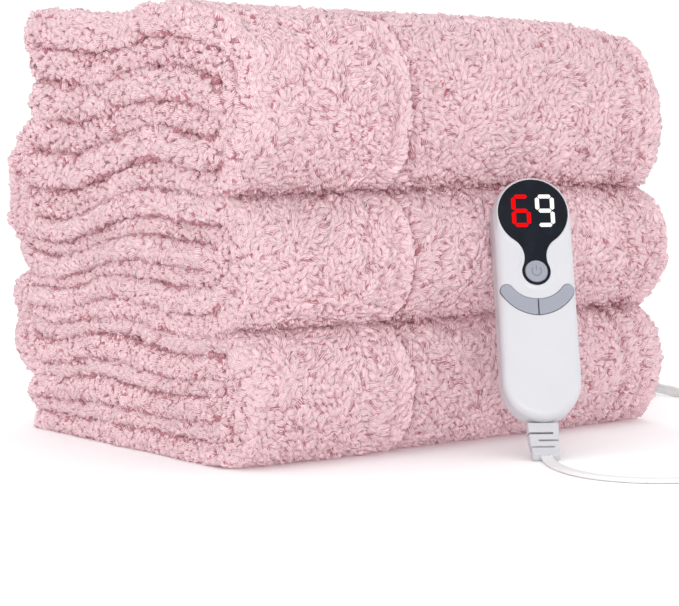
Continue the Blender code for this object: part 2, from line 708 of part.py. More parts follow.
def main():
    for old in list(bpy.data.objects):
        bpy.data.objects.remove(old, do_unlink=True)
    throw()
    pose = bpy.data.objects.new("controller_pose", None)
    bpy.context.collection.objects.link(pose)
    pose.matrix_world = (Matrix.Translation(FOOT) @ Matrix.Rotation(TURN, 4, "Z")
                         @ Matrix.Rotation(-LEAN, 4, "X"))
    controller(pose)
    strain_relief(pose)
    flat_lead("lead", lead_points(pose.matrix_world.copy()))
    coil()
    tie()
    flat_lead("lead_tail", through(TAIL_ROUTE, CORD_STEP))
    plug()
    bpy.context.view_layer.update()


main()
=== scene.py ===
"""The looks of a folded electric heated throw, its hand controller and its mains lead.

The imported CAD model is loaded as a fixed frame. The throw's cloth, its curly pile, the moulded
controller, the strain relief, the lead with its coil and the plug are worked out here as finer
surfaces in the same places. Metres, +Z up; the front of the stack faces -Y, its layered end -X.
"""

import math

import bpy
import numpy as np
from bpy.props import FloatProperty, FloatVectorProperty, IntProperty, PointerProperty
from mathutils import Matrix, Vector


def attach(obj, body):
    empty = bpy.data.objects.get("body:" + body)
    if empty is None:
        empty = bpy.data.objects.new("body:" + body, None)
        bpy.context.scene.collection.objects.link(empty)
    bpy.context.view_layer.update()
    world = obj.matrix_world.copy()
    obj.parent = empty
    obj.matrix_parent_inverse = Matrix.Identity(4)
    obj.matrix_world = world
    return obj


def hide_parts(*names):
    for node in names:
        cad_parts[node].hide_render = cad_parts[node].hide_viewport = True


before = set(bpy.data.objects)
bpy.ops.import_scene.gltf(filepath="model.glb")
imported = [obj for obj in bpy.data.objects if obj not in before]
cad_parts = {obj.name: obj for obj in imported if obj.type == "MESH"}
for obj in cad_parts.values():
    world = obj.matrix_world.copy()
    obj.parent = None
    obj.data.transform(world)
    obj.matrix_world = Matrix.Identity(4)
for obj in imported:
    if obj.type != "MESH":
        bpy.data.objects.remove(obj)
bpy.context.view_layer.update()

bl_info = {
    "name": "Folded Heated Throw",
    "version": (1, 0, 0),
    "blender": (4, 5, 0),
    "location": "3D View > Sidebar > Throw",
    "description": "Builds a folded curly-pile heated throw with its hand controller and lead",
    "category": "Object",
}

MM = 0.001
GAP = 0.4 * MM
BODY = "blanket"  # the CAD body of everything but the three keys

# ---------------------------------------------------------------- the stack, as in the CAD source
STACK_WIDTH = 0.342
STACK_DEPTH = 0.260
STACK_HEIGHT = 0.256
LAYERS = 3
LAYER_FILL = 0.90
FRONT_TURN = 0.036
BACK_TURN = 0.032
FLAP_EDGE = 0.121
FLAP_SLOPE = 3.0 * MM
FLAP_RISE = 4.0 * MM
WAVE_RISE = 3.8 * MM
WAVE_LENGTH = 0.145
WAVE_FADE = 0.090
TOP_DROOP = 9.0 * MM
TOP_DROOP_LENGTH = 0.11
TOP_CROWN = 8.0 * MM
END_FADE = 0.05  # the layers' own places at the ends even out over this length
CORNER_DEPTH = 9.0 * MM  # the lobes' front corners are rounded back by this, over this length
CORNER_LENGTH = 18.0 * MM
WAVE_SLANT = 0.35  # how far forwards the ridges lean as they rise, as a share of the height
CROWN_START = 0.02  # the top falls away where it is further forward than this from the middle
# Where a change grows from none to whole: the first three towards the front, along a layer whose
# straight run ends at 1, and the last two upwards, in layers.
FRONT_GROWTH = (-1.0, 0.8)
LOBE_GROWTH = (0.2, 1.6)
FLAP_GROWTH = (0.6, 2.0)
WAVE_GROWTH = (1.0, 4.0)
CROWN_GROWTH = (10.0, 18.0)
# One row for each run of the strip: its share of the height at the front and at the back, and how
# far its low, middle and high layer stand in at the layered end, and the run at the other, in mm.
RUNS = np.array((
    # front, back, low, middle, high, right
    (0.146, 0.132, 3.0, 6.5, 2.0, 5.0),
    (0.147, 0.150, 7.0, 3.5, 9.0, 2.0),
    (0.150, 0.110, 6.0, 2.5, 7.5, 3.5),
    (0.153, 0.125, 3.0, 8.0, 1.0, 0.0),
    (0.198, 0.237, 5.5, 0.5, 5.0, 4.0),
    (0.206, 0.246, 2.0, 6.0, 3.0, 6.5),
))
LEVELS = len(RUNS) * LAYERS
# How far each front lobe stands out at the layered end, the flap, the middle and the right, in mm.
LOBES = np.array((
    (-1.0, 2.5, 0.5, -3.0),
    (-6.0, 3.0, 1.0, 0.5),
    (2.0, 0.5, -1.0, -5.0),
))
LOBE_STOPS = (0.0, FLAP_EDGE * 0.6, STACK_WIDTH * 0.6, STACK_WIDTH)

# ---------------------------------------------------------------- the controller, as in the CAD source
BODY_LENGTH = 0.1470
BODY_HALF_WIDTH = 0.0229
FRONT_THICKNESS = 0.0120
BACK_THICKNESS = 0.0088
EDGE_ROUND = 0.0048
END_ROUND = 0.0235
DISPLAY_RADIUS = 0.0207
DISPLAY_HEIGHT = 0.1241
KEY_RING_RADIUS = 0.0084
POWER_RADIUS = 0.0065
POWER_HEIGHT = 0.0880
NECK_FILLET = 0.0127
RIM_WIDTH = 0.0011
RIM_RISE = 0.6 * MM
PANEL_THICKNESS = 1.2 * MM
PANEL_SINK = 0.3 * MM
SMILE_RADIUS = 0.0214
SMILE_HALF_WIDTH = (0.0048, 0.0037)
SMILE_HALF_ANGLE = math.radians(57)
SMILE_SPLIT = 0.6 * MM
KEY_RISE = 0.7 * MM
KEY_DEPTH = 2.6 * MM
KEY_CLEARANCE = 0.35 * MM
LEAN = math.radians(22)
TURN = math.radians(-33)
FOOT = (0.0040, -0.1835, 0.0192)
POSE = Matrix.Translation(FOOT) @ Matrix.Rotation(TURN, 4, "Z") @ Matrix.Rotation(-LEAN, 4, "X")
FACE = -FRONT_THICKNESS
RIM_TOP = FACE - RIM_RISE
PANEL_FACE = RIM_TOP + PANEL_SINK

# ---------------------------------------------------------------- strain relief, lead, coil and plug
RELIEF_STRAIGHT = 3.0 * MM
RELIEF_BEND = 0.024
RELIEF_ANGLE = math.radians(50)
RELIEF_LENGTH = RELIEF_STRAIGHT + RELIEF_BEND * RELIEF_ANGLE
RELIEF_HALF_WIDTH = (0.0091, 0.0079)
RELIEF_HALF_THICKNESS = (0.0042, 0.0023)
SLOT_WIDTH = 1.5 * MM
SLOTS = ((0.0070, -1, 0.0048), (0.0122, 1, -0.0028), (0.0174, -1, 0.0048))
CORD_WIDTH = 0.0070
CORD_THICKNESS = 0.0026
# The lead's middle line on the floor, from the strain relief to the coil, as listed points.
LEAD_ROUTE = (
    (-0.0096, -0.2043, 0.00155),
    (-0.0190, -0.2210, 0.00145),
    (-0.0255, -0.2410, 0.00145),
    (-0.0245, -0.2620, 0.00145),
    (-0.0130, -0.2820, 0.00145),
    (0.0095, -0.2960, 0.00145),
    (0.0380, -0.3010, 0.00145),
    (0.0700, -0.2985, 0.00145),
    (0.1020, -0.2900, 0.00145),
    (0.1340, -0.2755, 0.00145),
    (0.1650, -0.2550, 0.00145),
    (0.1940, -0.2285, 0.00145),
    (0.2195, -0.1960, 0.00145),
    (0.2405, -0.1590, 0.00145),
    (0.2555, -0.1190, 0.00145),
    (0.2635, -0.0780, 0.00200),
    (0.2652, -0.0430, 0.00370),
    (0.2638, -0.0203, 0.00500),
)
TAIL_ROUTE = (
    (0.2638, 0.0203, 0.0130),
    (0.2655, 0.0320, 0.0120),
    (0.2655, 0.0450, 0.0106),
    (0.2630, 0.0575, 0.0100),
)
COIL_CENTRE = (0.2220, 0.0)
COIL_RADII = (0.0300, 0.0430)
COIL_BOTTOM = 1.6 * MM
COIL_HEIGHT = 0.0158
TIE_ANGLE = math.radians(200)
TIE_WIDTH = 0.0070
TIE_THICKNESS = 0.9 * MM
PLUG_TURN = math.radians(102)
PLUG_LENGTH = 0.030
PLUG_HALF_WIDTH = (0.0060, 0.0125)
PLUG_HALF_HEIGHT = (0.0045, 0.0096)


# ================================================================ settings
class ThrowSettings(bpy.types.PropertyGroup):
    """Sizes and colours of the cloth and its pile."""

    flat_width: FloatProperty(
        name="Flat width", description="Width that the throw was cut to",
        default=1.27, min=0.5, max=3.0, unit="LENGTH")
    flat_length: FloatProperty(
        name="Flat length", description="Length that the throw was cut to",
        default=1.52, min=0.5, max=3.0, unit="LENGTH")
    curl_spacing: FloatProperty(
        name="Curl spacing", description="Distance between neighbouring curls of the pile",
        default=3.4 * MM, min=0.003, max=0.012, unit="LENGTH")
    curl_height: FloatProperty(
        name="Curl height", description="How far a curl stands out of the cloth",
        default=2.8 * MM, min=0.001, max=0.008, unit="LENGTH")
    seed: IntProperty(name="Seed", description="Seed of the curls' places and shapes", default=7)
    tip_colour: FloatVectorProperty(
        name="Tip colour", description="Colour of the pile's tips",
        default=(0.675, 0.506, 0.536), size=3, subtype="COLOR", min=0.0, max=1.0)
    # The root colour is painted shade: the darker rose that stands for the shade deep in the pile.
    root_shade_colour: FloatVectorProperty(
        name="Root colour", description="Colour deep in the pile",
        default=(0.400, 0.165, 0.196), size=3, subtype="COLOR", min=0.0, max=1.0)


class ControllerSettings(bpy.types.PropertyGroup):
    """Colours of the hand controller."""

    shell_colour: FloatVectorProperty(
        name="Shell colour", description="Colour of the moulded body",
        default=(0.545, 0.545, 0.575), size=3, subtype="COLOR", min=0.0, max=1.0)
    key_colour: FloatVectorProperty(
        name="Key colour", description="Colour of the three keys",
        default=(0.270, 0.285, 0.335), size=3, subtype="COLOR", min=0.0, max=1.0)
    panel_colour: FloatVectorProperty(
        name="Panel colour", description="Colour of the gloss display panel",
        default=(0.006, 0.008, 0.013), size=3, subtype="COLOR", min=0.0, max=1.0)
    heat_colour: FloatVectorProperty(
        name="Heat digit colour", description="Colour of the lit heat digit",
        default=(1.0, 0.004, 0.006), size=3, subtype="COLOR", min=0.0, max=1.0)
    hours_colour: FloatVectorProperty(
        name="Hours digit colour", description="Colour of the lit hours digit",
        default=(1.0, 1.0, 1.0), size=3, subtype="COLOR", min=0.0, max=1.0)


class LeadSettings(bpy.types.PropertyGroup):
    """Sizes and colours of the lead."""

    turns: IntProperty(
        name="Turns a layer", description="Turns in each of the coil's two layers",
        default=3, min=1, max=4)
    pitch: FloatProperty(
        name="Turn pitch", description="Distance between the middles of neighbouring turns",
        default=3.0 * MM, min=0.0027, max=0.008, unit="LENGTH")
    colour: FloatVectorProperty(
        name="Lead colour", description="Colour of the lead and its plug",
        default=(0.740, 0.740, 0.745), size=3, subtype="COLOR", min=0.0, max=1.0)


class StudioSettings(bpy.types.PropertyGroup):
    """The camera, which stands where the photograph was taken from, and the light."""

    azimuth: FloatProperty(
        name="Azimuth", description="Direction of the camera, from the front to the left",
        default=math.radians(-38), unit="ROTATION")
    distance: FloatProperty(
        name="Distance", description="Distance of the camera from the stack's middle, on the floor",
        default=1.336, min=0.3, unit="LENGTH")
    height: FloatProperty(
        name="Height", description="Height of the camera", default=0.189, unit="LENGTH")
    pitch: FloatProperty(
        name="Pitch", description="How far the camera looks down",
        default=math.radians(4.8), unit="ROTATION")
    lens: FloatProperty(
        name="Lens", description="Focal length on a sensor 36 mm wide, in mm",
        default=111.34, min=10.0, max=500.0)
    sky: FloatProperty(
        name="Sky", description="Strength of the even white light from all round",
        default=1.06, min=0.0, max=5.0)


# ================================================================ shader expressions
class Wire:
    """An output socket. In an expression, it adds Math nodes to its material."""

    def __init__(self, finish, socket):
        self.finish, self.socket = finish, socket

    def maths(self, operation, *values):
        return self.finish.node("Math", {"operation": operation}, dict(enumerate(values)))

    def __add__(self, other):
        return self.maths("ADD", self, other)

    def __radd__(self, other):
        return self.maths("ADD", other, self)

    def __sub__(self, other):
        return self.maths("SUBTRACT", self, other)

    def __rsub__(self, other):
        return self.maths("SUBTRACT", other, self)

    def __mul__(self, other):
        return self.maths("MULTIPLY", self, other)

    def __rmul__(self, other):
        return self.maths("MULTIPLY", other, self)

    def __pow__(self, other):
        return self.maths("POWER", self, other)


class Finish:
    """A material with one Principled shader, whose constant values are given by socket name."""

    def __init__(self, name, **constants):
        self.material = bpy.data.materials.new(name)
        self.material.use_nodes = True
        self.tree = self.material.node_tree
        self.shader = self.tree.nodes["Principled BSDF"]
        for socket, value in constants.items():
            self.shader.inputs[socket.replace("_", " ")].default_value = value

    def node(self, kind, settings, sockets, output=0):
        """Add any node: its settings first, then the values or links of its sockets."""
        made = self.tree.nodes.new("ShaderNode" + kind)
        for key, value in settings.items():
            if key == "stops":
                self.set_stops(made.color_ramp, value)
            else:
                setattr(made, key, value)
        for key, value in sockets.items():
            self.join(value, made.inputs[key])
        return Wire(self, made.outputs[output])

    @staticmethod
    def set_stops(ramp, stops):
        while len(ramp.elements) < len(stops):
            ramp.elements.new(1.0)
        for element, (place, colour) in zip(ramp.elements, stops):
            element.position, element.color = place, colour

    def join(self, value, socket):
        if isinstance(value, Wire):
            self.tree.links.new(value.socket, socket)
        else:
            socket.default_value = value

    def feed(self, **sockets):
        """Link values to the shader's own sockets, by name."""
        for name, value in sockets.items():
            self.join(value, self.shader.inputs[name.replace("_", " ")])
        return self

    def place(self):
        """Object coordinates, in metres."""
        return self.node("TexCoord", {}, {}, "Object")

    def attribute(self, name, output="Fac"):
        return self.node("Attribute", {"attribute_name": name}, {}, output)

    def noise(self, scale, detail=2.0, roughness=0.5, vector=None):
        sockets = {"Scale": scale, "Detail": detail, "Roughness": roughness,
                   "Vector": vector or self.place()}
        return self.node("TexNoise", {}, sockets, 0)

    def ramp(self, value, low, high):
        """0 where the value is at most low, 1 where it is at least high, smooth between them."""
        return self.node("MapRange", {"interpolation_type": "SMOOTHSTEP"},
                         {"Value": value, "From Min": low, "From Max": high})

    def blend(self, factor, first, second):
        """A colour between two others."""
        sockets = {0: factor, 6: colour(first), 7: colour(second)}
        return self.node("Mix", {"data_type": "RGBA"}, sockets, 2)

    def bump(self, height, depth, strength=1.0, under=None):
        """A normal from a height of 0 to 1 that stands for so many metres."""
        sockets = {"Height": height, "Distance": depth, "Strength": strength}
        if under is not None:
            sockets["Normal"] = under
        return self.node("Bump", {}, sockets)


def colour(value):
    """A colour as a socket takes it, with its alpha."""
    return value if isinstance(value, Wire) or len(value) == 4 else (*value, 1.0)


def shade(base, factor):
    """A colour times a number."""
    return tuple(min(1.0, channel * factor) for channel in base)


# ================================================================ meshes from arrays
def ease(value, start, end):
    """0 before start, 1 after end, and the smooth step 3t^2 - 2t^3 between them."""
    t = np.clip((value - start) / (end - start), 0.0, 1.0)
    return t * t * (3.0 - 2.0 * t)


def hump(value, centre, width):
    """1 at a centre, falling away on both sides as exp(-((value - centre) / width)^2)."""
    return np.exp(-((value - centre) / width) ** 2)


def between(pair, share):
    """The value at a share of the way from the first of two values to the second."""
    return pair[0] + (pair[1] - pair[0]) * share


def read_at(places, known, rows):
    """Rows that are known at some places, read at others by straight interpolation."""
    return np.column_stack([np.interp(places, known, column) for column in rows.T])


def unit(vectors):
    """Vectors divided by their lengths, one in each row."""
    return vectors / np.linalg.norm(vectors, axis=1, keepdims=True)


def linked(name, data):
    """An object for some data, in the scene."""
    obj = bpy.data.objects.new(name, data)
    bpy.context.scene.collection.objects.link(obj)
    return obj


def finished(name, mesh, finish, body):
    """An object for a mesh, with its finish, that rides on its CAD body if it has one."""
    obj = linked(name, mesh)
    mesh.materials.append(finish.material)
    if body:
        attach(obj, body)
    return obj


def mesh_piece(name, points, faces, finish, body=BODY, smooth=True, sharp=40):
    """An object at the origin from an (n, 3) array and a list or array of faces."""
    mesh = bpy.data.meshes.new(name)
    mesh.from_pydata(np.asarray(points, float).reshape(-1, 3), [], faces)
    mesh.update()
    if smooth:
        mesh.shade_smooth()
        mesh.set_sharp_from_angle(angle=math.radians(sharp))
    return finished(name, mesh, finish, body)


def quad_piece(name, points, quads, finish, body=BODY):
    """An object from big arrays of points and four-cornered faces, set in whole arrays."""
    mesh = bpy.data.meshes.new(name)
    mesh.vertices.add(len(points))
    mesh.vertices.foreach_set("co", np.asarray(points, np.float32).ravel())
    mesh.loops.add(quads.size)
    mesh.loops.foreach_set("vertex_index", quads.astype(np.int32).ravel())
    mesh.polygons.add(len(quads))
    mesh.polygons.foreach_set("loop_start", np.arange(0, quads.size, 4, dtype=np.int32))
    mesh.update(calc_edges=True)
    mesh.validate()
    mesh.shade_smooth()
    return finished(name, mesh, finish, body)


def set_attribute(obj, name, kind, values):
    """Store one value or vector for each point of a mesh."""
    field = "value" if kind == "FLOAT" else "vector"
    stored = obj.data.attributes.new(name, kind, "POINT")
    stored.data.foreach_set(field, np.asarray(values, np.float32).ravel())


def grid_quads(rows, columns, closed_rows=False, closed_columns=False):
    """Faces of a grid of points in row order; either way may close on itself."""
    r = np.arange(rows if closed_rows else rows - 1)
    c = np.arange(columns if closed_columns else columns - 1)
    r, c = np.meshgrid(r, c, indexing="ij")
    across, down = (c + 1) % columns, (r + 1) % rows
    corners = (r * columns + c, r * columns + across, down * columns + across, down * columns + c)
    return np.stack(corners, axis=-1).reshape(-1, 4)


def loft(loops, caps=True):
    """Faces and points of closed loops, of equal length, joined in order, with flat ends."""
    loops = np.asarray(loops, float)
    rows, columns = loops.shape[:2]
    faces = grid_quads(rows, columns, closed_columns=True).tolist()
    if caps:
        faces.append(list(range(columns))[::-1])
        faces.append([(rows - 1) * columns + i for i in range(columns)])
    return loops.reshape(-1, 3), faces


def outward(obj):
    """Turn a closed mesh's faces outwards, by the sign of its volume."""
    mesh = obj.data
    mesh.calc_loop_triangles()
    points = np.array([v.co for v in mesh.vertices])
    corners = np.array([t.vertices for t in mesh.loop_triangles])
    a, b, c = points[corners[:, 0]], points[corners[:, 1]], points[corners[:, 2]]
    if np.einsum("ij,ij->i", a, np.cross(b, c)).sum() < 0:
        mesh.flip_normals()
    return obj


def posed(points, pose=POSE):
    """Points of a local frame carried to their place on the object."""
    matrix = np.array(pose)
    return np.asarray(points, float) @ matrix[:3, :3].T + matrix[:3, 3]


def moved(obj, carry):
    """Put a mesh's points where a function carries them."""
    co = np.array([v.co for v in obj.data.vertices])
    obj.data.vertices.foreach_set("co", carry(co).astype(np.float32).ravel())


def cut(obj, guide):
    """Cut a guide mesh out of an object, and remove the guide."""
    step = obj.modifiers.new("cut", "BOOLEAN")
    step.operation, step.solver, step.object = "DIFFERENCE", "EXACT", guide
    evaluated = obj.evaluated_get(bpy.context.evaluated_depsgraph_get())
    made = bpy.data.meshes.new_from_object(evaluated)
    obj.modifiers.clear()
    obj.data = made
    bpy.data.objects.remove(guide)
    return obj


def through(points, spacing):
    """A smooth curve through points, read at about equal steps: Catmull-Rom pieces, where each
    piece is the cubic whose slope at a point is half the way between its neighbours."""
    p = np.array([tuple(q) for q in points], float)
    p = np.vstack([2 * p[0] - p[1], p, 2 * p[-1] - p[-2]])
    a, b, c, d = (p[i:len(p) - 3 + i, None, :] for i in range(4))
    t = np.linspace(0.0, 1.0, 16, endpoint=False)[None, :, None]
    fine = 0.5 * (2 * b + (c - a) * t + (2 * a - 5 * b + 4 * c - d) * t ** 2
                  + (3 * b - a - 3 * c + d) * t ** 3)
    fine = np.vstack([fine.reshape(-1, p.shape[1]), p[-2:-1]])
    along = np.r_[0.0, np.cumsum(np.linalg.norm(np.diff(fine[:, :3], axis=0), axis=1))]
    at = np.linspace(0.0, along[-1], max(2, round(along[-1] / spacing)) + 1)
    return read_at(at, along, fine)


# ================================================================ finishes
# Painted glow: emission on the pile, at its roots and at its tips, in place of light that comes through
# the strands.
PAINTED_ROOT_GLOW = (0.055, 0.016, 0.020)
PAINTED_TIP_GLOW = (0.188, 0.113, 0.127)


def pile_finish(settings):
    """Curly pile: painted shade rose deep down, pale at the tips, with fine curved strands on each
    curl.
    """
    finish = Finish("curly_pile", Roughness=0.92, Sheen_Weight=0.20, Sheen_Roughness=0.55,
                    Sheen_Tint=(1.0, 0.85, 0.88, 1.0), Specular_IOR_Level=0.10,
                    Emission_Strength=1.0)
    lift = finish.attribute("lift")
    strand = finish.attribute("strand", "Vector")
    broad = finish.noise(16.0, 2.0)
    patch = finish.noise(170.0, 3.0, 0.6)
    bands = finish.node("TexWave", {"wave_type": "BANDS", "bands_direction": "Y"},
                        {"Vector": strand, "Scale": 270.0, "Distortion": 2.6, "Detail": 2.0,
                         "Detail Scale": 1.2, "Detail Roughness": 0.6}, "Fac")
    fibres = finish.noise(1500.0, 2.0, 0.6)
    creased = bands ** 0.45
    # Painted shade: the colour falls to the root shade colour deep in the pile and in the creases
    # between strands.
    depth = finish.ramp(lift + (patch - 0.5) * 0.50 + (creased - 0.72) * 0.90, 0.06, 1.06)
    tip = finish.blend(finish.ramp(broad, 0.35, 0.65), shade(settings.tip_colour, 0.97),
                       shade(settings.tip_colour, 1.04))
    base = finish.blend(depth, settings.root_shade_colour, tip)
    soft = finish.bump(patch, 1.6 * MM, 0.55)
    lined = finish.bump(creased * 0.85 + fibres * 0.15, 0.55 * MM, 0.80, soft)
    # The emission is a painted glow, rose at the roots and pale at the tips.
    return finish.feed(Base_Color=base, Normal=lined,
                       Emission_Color=finish.blend(depth, PAINTED_ROOT_GLOW, PAINTED_TIP_GLOW))


def cloth_finish(settings):
    """The ground of the cloth, which shows only deep between the curls, in painted shade."""
    finish = Finish("pile_ground", Roughness=0.95, Specular_IOR_Level=0.05,
                    Emission_Strength=1.0)
    knit = finish.noise(420.0, 3.0, 0.7)
    # Painted shade: the knit runs from the root shade colour to a darkened tip colour, with a painted
    # glow.
    base = finish.blend(finish.ramp(knit, 0.22, 0.55), settings.root_shade_colour,
                        shade(settings.tip_colour, 0.82))
    return finish.feed(Base_Color=base, Normal=finish.bump(knit, 1.2 * MM, 0.8),
                       Emission_Color=finish.blend(knit, PAINTED_ROOT_GLOW, shade(PAINTED_TIP_GLOW, 0.8)))


def plastic_finish(name, base, rough, grain, grain_depth, **constants):
    """Moulded plastic: a fine moulded grain, and colour and gloss that vary a little."""
    finish = Finish(name, **constants)
    cloudy = finish.noise(55.0, 3.0)
    fine = finish.noise(grain, 2.0, 0.6)
    tint = finish.blend(cloudy, shade(base, 0.975), shade(base, 1.02))
    wear = cloudy * 0.10 + (rough - 0.05)
    return finish.feed(Base_Color=tint, Roughness=wear,
                       Normal=finish.bump(fine, grain_depth, 0.5))


def panel_finish(base):
    """Black gloss panel with faint handling marks in its gloss."""
    finish = Finish("black_gloss", Specular_IOR_Level=0.12)
    marks = finish.ramp(finish.noise(90.0, 5.0, 0.65), 0.45, 0.75)
    fine = finish.noise(900.0, 1.0)
    tint = finish.blend(marks, base, shade(base, 1.5))
    return finish.feed(Base_Color=tint, Roughness=marks * 0.07 + 0.07,
                       Normal=finish.bump(fine, 0.02 * MM, 0.1))


def lit_finish(name, base, strength):
    """A lit digit: a glow that fine grain dims a little in places."""
    finish = Finish(name, Roughness=0.6, Emission_Strength=strength, Specular_IOR_Level=0.0)
    fine = finish.noise(700.0, 1.0)
    glow = finish.blend(fine, shade(base, 0.94), base)
    return finish.feed(Base_Color=finish.blend(fine, shade(base, 0.10), shade(base, 0.14)),
                       Emission_Color=glow)


def metal_finish(name, base):
    """Drawn brass, with fine marks along its length."""
    finish = Finish(name, Metallic=1.0)
    drawn = finish.noise(600.0, 4.0, 0.7)
    tint = finish.blend(drawn, shade(base, 0.85), base)
    return finish.feed(Base_Color=tint, Roughness=drawn * 0.2 + 0.2,
                       Normal=finish.bump(drawn, 0.03 * MM, 0.4))


# ================================================================ the folded section
def half_turn(centre_y, centre_z, radius, side, upwards, steps):
    """Half a circle about a point, on the front (-1) or back (+1) side, with its directions."""
    sweep = np.linspace(-math.pi / 2, math.pi / 2, steps + 1)
    if not upwards:
        sweep = sweep[::-1]
    direction = np.column_stack([side * np.cos(sweep), np.sin(sweep)])
    return np.array([centre_y, centre_z]) + radius * direction, direction


def layer_line(offset, run_steps, turn_steps):
    """One layer of the strip as it goes back and forth, in units of a layer's pitch: straight
    runs from -1 to +1, joined by half circles of radius 1.5 + offset in front and 1.5 - offset
    behind."""
    points, normals = [], []
    for k in range(len(RUNS)):
        side = -1.0 if k % 2 == 0 else 1.0
        height = (k + 0.5) * LAYERS + side * offset
        run = np.linspace(-side, side, run_steps + 1)
        points.append(np.column_stack([run, np.full_like(run, height)]))
        normals.append(np.tile([0.0, side], (run_steps + 1, 1)))
        if k < len(RUNS) - 1:
            radius = LAYERS / 2 - side * offset
            steps = max(5, round(turn_steps * radius / LAYERS))
            where, direction = half_turn(side, (k + 1) * LAYERS, radius, side, True, steps)
            points.append(where[1:-1])
            normals.append(-side * direction[1:-1])
    return np.vstack(points), np.vstack(normals)


LUMP_RISE = 1.2 * MM  # how far the cloth swells and sinks between its clumps of pile
# The swells' wavelengths, their shares and the headings that they run in, in radians.
LUMPS = ((0.047, 0.40, 0.4), (0.029, 0.35, 2.1), (0.019, 0.32, 1.2), (0.014, 0.25, 2.8))
LUMP_BEND = 1.8  # how far the slower wave shifts them, in radians,
LUMP_BEND_RATE = 1.7  # and how fast it turns, in half turns a wavelength


def slanted(along, distance, heading):
    """Distances on the cloth along a heading and across it."""
    return (along * math.cos(heading) + distance * math.sin(heading),
            distance * math.cos(heading) - along * math.sin(heading))


def lumps(along, distance):
    """Soft swells of the cloth, from about -1 to 1: a sum of waves in several directions, each
    bent by a slower one across it."""
    total = np.zeros_like(along)
    for wavelength, share, heading in LUMPS:
        first, second = slanted(along, distance, heading)
        bend = LUMP_BEND * np.sin(LUMP_BEND_RATE * math.pi * second / wavelength)
        total = total + share * np.sin(2 * math.pi * first / wavelength + bend)
    return total


class Section:
    """The folded sheet's middle line in the plane across the stack, with its normals."""

    def __init__(self, run_steps=10, turn_steps=22):
        layers = [layer_line(offset, run_steps, turn_steps) for offset in (1.0, 0.0, -1.0)]
        layers[1] = (layers[1][0][::-1], -layers[1][1][::-1])
        points, normals = [layers[0][0]], [layers[0][1]]
        for before, after in zip(layers[:-1], layers[1:]):
            start, end = before[0][-1], after[0][0]
            where, direction = half_turn(start[0], (start[1] + end[1]) / 2, 0.5, 1.0,
                                         end[1] > start[1], 6)
            sign = np.sign(np.dot(before[1][-1], direction[0]))
            points += [where[1:-1], after[0]]
            normals += [sign * direction[1:-1], after[1]]
        self.points, self.normals = np.vstack(points), np.vstack(normals)
        self.index = np.arange(len(self.points), dtype=float)
        flat = np.column_stack(carried(self.points, np.full(len(self.points), STACK_WIDTH / 2)))
        steps = np.linalg.norm(np.diff(flat, axis=0), axis=1)
        self.length = np.r_[0.0, np.cumsum(steps)]

    def at(self, index):
        """Middle point and unit normal at any place along the line, by straight interpolation."""
        return (read_at(index, self.index, self.points),
                unit(read_at(index, self.index, self.normals)))

    def index_at(self, along):
        """The places along the line that lie this far along the cloth, in metres."""
        return np.interp(along, self.length, self.index)

    def place(self, index, across, distance):
        """Points of the throw: the middle point plus its normal times across, where -1 and 1 are
        the cloth's two faces, carried to its place at this distance from the layered end."""
        point, normal = self.at(index)
        level = np.clip(point[:, 1], 0.0, LEVELS - 0.001)
        left = np.interp(level, np.arange(LEVELS) + 0.5, RUNS[:, 2:5].ravel()) * MM
        right = np.interp(level, (np.arange(len(RUNS)) + 0.5) * LAYERS, RUNS[:, 5]) * MM
        near = 1.0 - ease(distance, 0.0, END_FADE)
        far = ease(distance, STACK_WIDTH - END_FADE, STACK_WIDTH)
        along = np.interp(index, self.index, self.length)
        lift = LUMP_RISE * LEVELS / STACK_HEIGHT * lumps(along, distance)
        section = point + (np.asarray(across) * LAYER_FILL / 2 + lift)[:, None] * normal
        place, height = carried(section, distance)
        x = distance + left * near - right * far - STACK_WIDTH / 2
        return np.column_stack([x, place, height])


# The flap's hem as swells and dips: rise, distance past the flap's edge and half width.
HEM = (
    (-2.0 * MM, -14.0 * MM, 2.6 * MM),  # its line of stitches
    (2.2 * MM, -7.0 * MM, 4.6 * MM),  # the band between them and the edge
    (-5.6 * MM, 1.0 * MM, 2.8 * MM),  # the crease beside it
)


